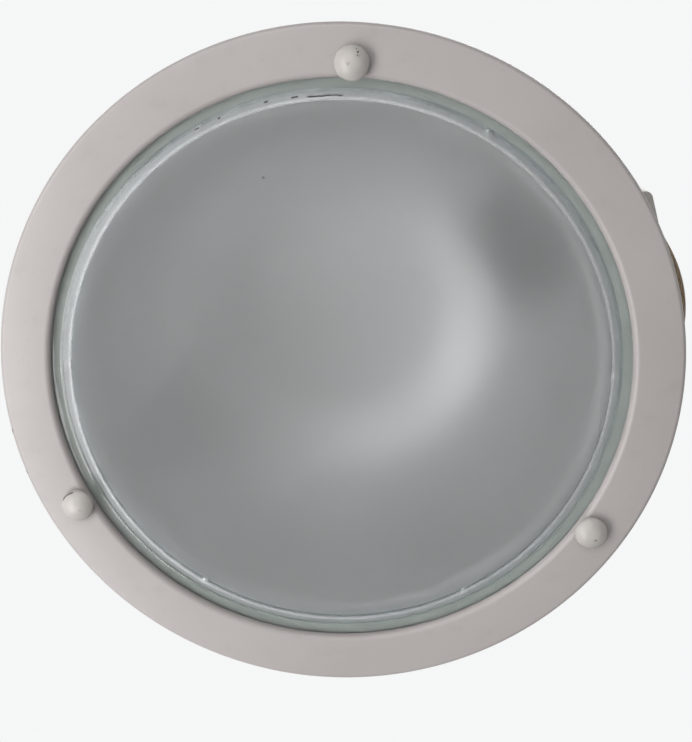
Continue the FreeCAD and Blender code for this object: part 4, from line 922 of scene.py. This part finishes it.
rivets("rim_rivets", "reflector_rivets", [
    (polar(rimRivets["radius"], lamps["turns"]["a"] + 30 + 60 * count), upward, *rimRivets["grip"])
    for count in range(6)])
rivets("foot_rivets", "bracket_rivets", [
    (polar(footRivets["radius"], degrees) + polar(aside, degrees + 90), upward, *footRivets["grip"])
    for degrees in lamps["turns"].values() for aside in footRivets["asides"]])
rivets("carry_rivets", "strap_rivets", [
    (onTray(along, topRivets["aside"]), upward, *topRivets["grip"]) for along in topRivets["alongs"]] + [
    (onTray(0.0, aside, sideRivets["height"]), trayAlong, *sideRivets["grip"])
    for aside in sideRivets["asides"]])
panScrews("cover_screws", "lid_screws", zincFinish, "zinc_steel", **coverScrews)
panScrews("grip_screws", "cord_grip_screws", zincFinish, "zinc_steel", **gripScrews)
panScrews("ground_screw", "earth_screw", brassFinish, "brass", **groundScrew)
print("rivets and screws laid")

# Inlet grommet

grommetSize = {"bore": 4.5, "neck": 6.0, "flange": 8.0, "start": 124.6, "wall": 126.6, "outside": 127.6,
               "end": 129.6, "aside": 18.0, "height": 76.5}


def grommet(name, bore, neck, flange, start, wall, outside, end, aside, height):
    # Two flanges with a neck between them that sits in the tray's wall.
    profile = softProfile([
        (bore, start, 0.5), (flange, start, 0.8), (flange, wall, 0.3), (neck, wall), (neck, outside),
        (flange, outside, 0.3), (flange - 1.0, end, 0.8), (bore, end, 0.5)], arcSteps=5)
    return lay(name, [turned(profile, 64, onTray(0.0, aside, height), trayAlong)])


settle(grommet("cable_grommet", **grommetSize), rubberFinish, "base", "rubber", "inlet_grommet")

# Swing clamps

boltSize = {"crest": 1.5, "depth": 0.28, "pitch": 0.5, "low": 0.0, "high": 36.0, "steps": 32, "rows": 6}
boltHead = {"radius": 2.6, "height": 2.2, "slot": 1.0, "depth": 1.1}
bushSize = {"bore": 1.55, "radius": 2.4, "low": 12.5, "shoulder": 19.6, "flange": 3.4, "flangeHeight": 1.5}
dogSize = {"bore": 2.5, "low": 12.5, "high": 19.5, "boss": 3.4, "arm": 13.0, "edge": 0.5, "toothStart": 9.0,
           "toothEase": 2.0, "toothPitch": 0.8, "toothDepth": 0.35}
dogRest = 102.0


def clampBush(name, spot, bore, radius, low, shoulder, flange, flangeHeight):
    top = shoulder + flangeHeight
    profile = softProfile([
        (bore, low, 0.15), (radius, low, 0.25), (radius, shoulder), (flange, shoulder, 0.2),
        (flange, top, 0.35), (bore, top, 0.2)], arcSteps=4)
    return lay(name, [turned(profile, 48, spot)])


def clampDog(name, spot, degrees, bore, low, high, boss, arm, edge, toothStart, toothEase, toothPitch,
             toothDepth):
    # Round a stadium's edge the distance from the boss is the arm's side, boss / sin(angle), or the far
    # tip's circle; the section runs from the bore out to that edge, up the side and back. Small teeth bite
    # along the tip.
    angle = np.linspace(-math.pi, math.pi, 160, endpoint=False)[None]
    ahead = np.cos(angle)
    aside = np.abs(np.sin(angle))
    side = boss / np.maximum(aside, 1e-6)
    far = arm * ahead + np.sqrt(np.maximum(boss ** 2 - (arm * aside) ** 2, 0))
    onTip = (aside * arm <= boss) & (np.abs(far) * aside <= boss) & (side > arm)
    reach = np.where(ahead > 0, np.where(onTip, far, side), boss)
    reach = np.minimum(reach, arm + boss)
    along = reach * ahead
    bite = toothDepth * np.clip((along - toothStart) / toothEase, 0, 1)
    bite = bite * (0.5 - 0.5 * np.cos(fullTurn * along / toothPitch))
    middle = (bore + reach) / 2
    slope = edge * 0.3
    rows = [(bore, low), (middle, low), (reach - edge, low + bite), (reach - slope, low + slope + bite),
            (reach, low + edge + bite), (reach, high - edge), (reach - slope, high - slope),
            (reach - edge, high), (middle, high), (bore, high)]
    first = axisFrame(upward)[0]
    heading = angle + math.radians(degrees) - math.atan2(first[1], first[0])
    grid = np.vstack([aboutAxis(radius, height, heading, spot) for radius, height in rows])
    return lay(name, [(grid, True, True)], 30)


for number, degrees in enumerate(clamps["turns"], start=1):
    spot = polar(clamps["radius"], degrees)
    head = slotted(spot, (0, 0, -1), 0.0, 0.4 * number, **boltHead)
    shank = screwThread(centre=spot, **boltSize)
    bolt = lay("clamp_bolt_%d" % number, [head, shank], 30)
    settle(bolt, zincFinish, "clamp_%d_screw" % number, "zinc_steel", "clamp_screw_%d" % number)
    bush = clampBush("clamp_bush_%d" % number, spot, **bushSize)
    settle(bush, brassFinish, "clamp_%d_nut" % number, "brass", "clamp_nut_%d" % number)
    dog = clampDog("clamp_arm_%d" % number, spot, degrees + dogRest, **dogSize)
    settle(dog, dogFinish, "clamp_%d_dog" % number, "dog_nylon", "clamp_dog_%d" % number)
print("swing clamps laid")

# Sleeved leads: each follows a smooth spline that has the points given as its control points, in millimetres

loopLead = {"radius": 3.0, "route": [(x, y, lamps["height"]) for x, y in (
    (79.8, -44.2), (88.3, -49.0), (94.5, -52.4), (100.8, -52.4), (111.4, -43.6), (124.2, -21.6),
    (125.0, 2.8), (109.1, 21.0), (94.5, 26.4), (89.9, 30.9), (85.7, 41.8), (77.2, 56.0),
    (66.3, 68.6), (53.3, 79.1), (38.8, 87.1), (23.0, 92.5), (6.6, 95.1), (-10.0, 94.8),
    (-21.4, 92.6), (-27.7, 94.1), (-40.0, 103.7), (-64.6, 105.9), (-86.4, 94.5), (-98.6, 73.1),
    (-97.8, 57.7), (-94.5, 52.4), (-88.3, 49.0), (-79.8, 44.2))]}
feedLead = {"radius": 2.6, "route": [onTray(*spot) for spot in (
    (92.9, -13.24, 51.9), (92.9, -13.24, 62.0), (92.9, -13.24, 72.0), (92.9, -8.24, 72.0),
    (92.9, -2.0, 72.0))]}


def splinePoints(route):
    # Points read along a smooth spline that has the route's points as its control points.
    line = bpy.data.curves.new("route", "CURVE")
    line.dimensions = "3D"
    line.resolution_u = 14
    spline = line.splines.new("NURBS")
    spline.points.add(len(route) - 1)
    for point, spot in zip(spline.points, route):
        point.co = (spot[0] * mm, spot[1] * mm, spot[2] * mm, 1.0)
    spline.order_u = 3
    spline.use_endpoint_u = True
    holder = bpy.data.objects.new("route", line)
    mesh = bpy.data.meshes.new_from_object(holder)
    spots = np.zeros(len(mesh.vertices) * 3)
    mesh.vertices.foreach_get("co", spots)
    bpy.data.meshes.remove(mesh)
    bpy.data.objects.remove(holder)
    bpy.data.curves.remove(line)
    return spots.reshape(-1, 3)


def sleeve(name, radius, route, steps=28):
    # A circle carried along the route, square to its heading and with its first direction level.
    route = splinePoints(route)
    heading = np.gradient(route, axis=0)
    heading /= np.linalg.norm(heading, axis=1)[:, None]
    helper = np.array(upward, float) if abs(heading[0, 2]) < 0.5 else trayAlong
    level = np.cross(heading, helper)
    level /= np.linalg.norm(level, axis=1)[:, None]
    upright = np.cross(level, heading)
    angle = np.linspace(0, fullTurn, steps + 1)
    ring = np.cos(angle)[None, :, None] * level[:, None] + np.sin(angle)[None, :, None] * upright[:, None]
    points = route[:, None] + ring * radius * mm
    rows, columns = points.shape[:2]
    index = np.arange(rows * columns).reshape(rows, columns)
    foot = [(rows * columns, index[0, column + 1], index[0, column]) for column in range(steps)]
    tip = [(rows * columns + 1, index[-1, column], index[-1, column + 1]) for column in range(steps)]
    mesh = bpy.data.meshes.new(name)
    mesh.from_pydata(np.vstack([points.reshape(-1, 3), route[:1], route[-1:]]).tolist(), [],
                     quadsOf(index).tolist() + foot + tip)
    length = np.concatenate([[0], np.cumsum(np.linalg.norm(np.diff(route, axis=0), axis=1))]) / mm
    strand = length / sleevePitch
    flat = np.stack(np.broadcast_arrays(angle[None] / fullTurn, strand[:, None]), -1).reshape(-1, 2)
    flat = np.vstack([flat, [[0.5, 0.0], [0.5, strand[-1]]]])
    corner = np.zeros(len(mesh.loops), np.int32)
    mesh.loops.foreach_get("vertex_index", corner)
    layer = mesh.uv_layers.new(name="sleeve")
    layer.data.foreach_set("uv", flat[corner].astype(np.float32).ravel())
    weld(mesh, turnOut=True)
    print(name, "is", round(length[-1]), "mm long")
    return place(name, mesh)


settle(sleeve("sleeved_loop", **loopLead), sleeveFinish, "base", "lead_sleeve", "loop_lead")
settle(sleeve("sleeved_feed", **feedLead), sleeveFinish, "base", "lead_sleeve", "feed_lead")
print("leads laid")

# Stage: a pale floor far below, soft lamps and the photograph's view, in metres

floorLook = {"height": -1.6, "size": 14.0, "tone": colour(0.78, 0.78, 0.77),
             "shade": colour(0.70, 0.70, 0.69), "glow": colour(0.80, 0.80, 0.79), "glowShare": 0.75}
worldLook = {"sky": colour(0.92, 0.925, 0.93), "light": colour(1.0, 0.99, 0.975), "ambient": 0.20}
lampLook = [
    {"name": "key_lamp", "spot": (-0.46, 0.12, -0.50), "size": (1.10, 0.34), "power": 5.1},
    {"name": "fill_lamp", "spot": (-0.25, -0.85, -1.0), "size": (1.2, 1.2), "power": 7.0},
    {"name": "top_lamp", "spot": (0.7, -0.9, 1.5), "size": (1.6, 1.6), "power": 16.0},
]
viewLook = {"spot": (0.0099, -0.1132, -0.3587), "right": (0.99888, 0.00567, 0.04699),
            "up": (-0.00636, -0.96772, 0.25197), "forward": (-0.04690, 0.25198, 0.96659),
            "lens": 53.37, "shiftX": 0.0395, "shiftY": -0.0771}


def paleFloor(height, size, tone, shade, glow, glowShare):
    finish = Finish("pale_floor", roughness=0.7)
    finish.use(baseColor=finish.mix(finish.noise(3, 4) * 0.12, tone, shade))
    east, north = np.meshgrid(*[np.linspace(-size / 2, size / 2, 5)] * 2)
    floor = lay("floor", [(np.stack([east, north, np.full_like(east, height)], -1), False, False)])
    floor.data.flip_normals()
    floor.data.materials.append(finish.material)
    # To the camera the floor is as pale as the sky; the object only gets the light that it throws back.
    shine = finish.node("ShaderNodeEmission", None, {"Color": glow})
    finish.cover(finish.node("ShaderNodeLightPath", output="Is Camera Ray") * glowShare, shine)


def paleWorld(sky, light, ambient):
    # The sky is pale to the camera and in gloss and glass, and lights the object at a plain level.
    world = bpy.data.worlds.new("studio")
    bpy.context.scene.world = world
    world.use_nodes = True
    tree = world.node_tree
    shown = tree.nodes["Background"]
    shown.inputs["Color"].default_value = sky
    lit = tree.nodes.new("ShaderNodeBackground")
    lit.inputs["Color"].default_value = light
    lit.inputs["Strength"].default_value = ambient
    path = tree.nodes.new("ShaderNodeLightPath")
    seen = path.outputs["Is Camera Ray"]
    for ray in ("Is Glossy Ray", "Is Transmission Ray"):
        either = tree.nodes.new("ShaderNodeMath")
        either.operation = "MAXIMUM"
        tree.links.new(seen, either.inputs[0])
        tree.links.new(path.outputs[ray], either.inputs[1])
        seen = either.outputs[0]
    mixed = tree.nodes.new("ShaderNodeMixShader")
    for number, socket in enumerate((seen, lit.outputs[0], shown.outputs[0])):
        tree.links.new(socket, mixed.inputs[number])
    tree.links.new(mixed.outputs[0], tree.nodes["World Output"].inputs["Surface"])


def softLamp(name, spot, size, power):
    lamp = bpy.data.lights.new(name, "AREA")
    lamp.shape = "ELLIPSE"
    lamp.size, lamp.size_y = size
    lamp.energy = power
    holder = bpy.data.objects.new(name, lamp)
    holder.location = spot
    holder.rotation_euler = (-Vector(spot)).to_track_quat("-Z", "Y").to_euler()
    bpy.context.scene.collection.objects.link(holder)


def photoView(spot, right, up, forward, lens, shiftX, shiftY):
    camera = bpy.data.cameras.new("view")
    camera.lens = lens
    camera.sensor_width = 36.0
    camera.shift_x = shiftX
    camera.shift_y = shiftY
    camera.clip_start = 0.01
    holder = bpy.data.objects.new("view", camera)
    aim = Matrix([Vector(right), Vector(up), -Vector(forward)]).transposed().to_4x4()
    holder.matrix_world = Matrix.Translation(spot) @ aim
    bpy.context.scene.collection.objects.link(holder)
    bpy.context.scene.camera = holder


paleFloor(**floorLook)
paleWorld(**worldLook)
for look in lampLook:
    softLamp(**look)
photoView(**viewLook)
bpy.context.scene.view_settings.view_transform = "Standard"
print("stage set")
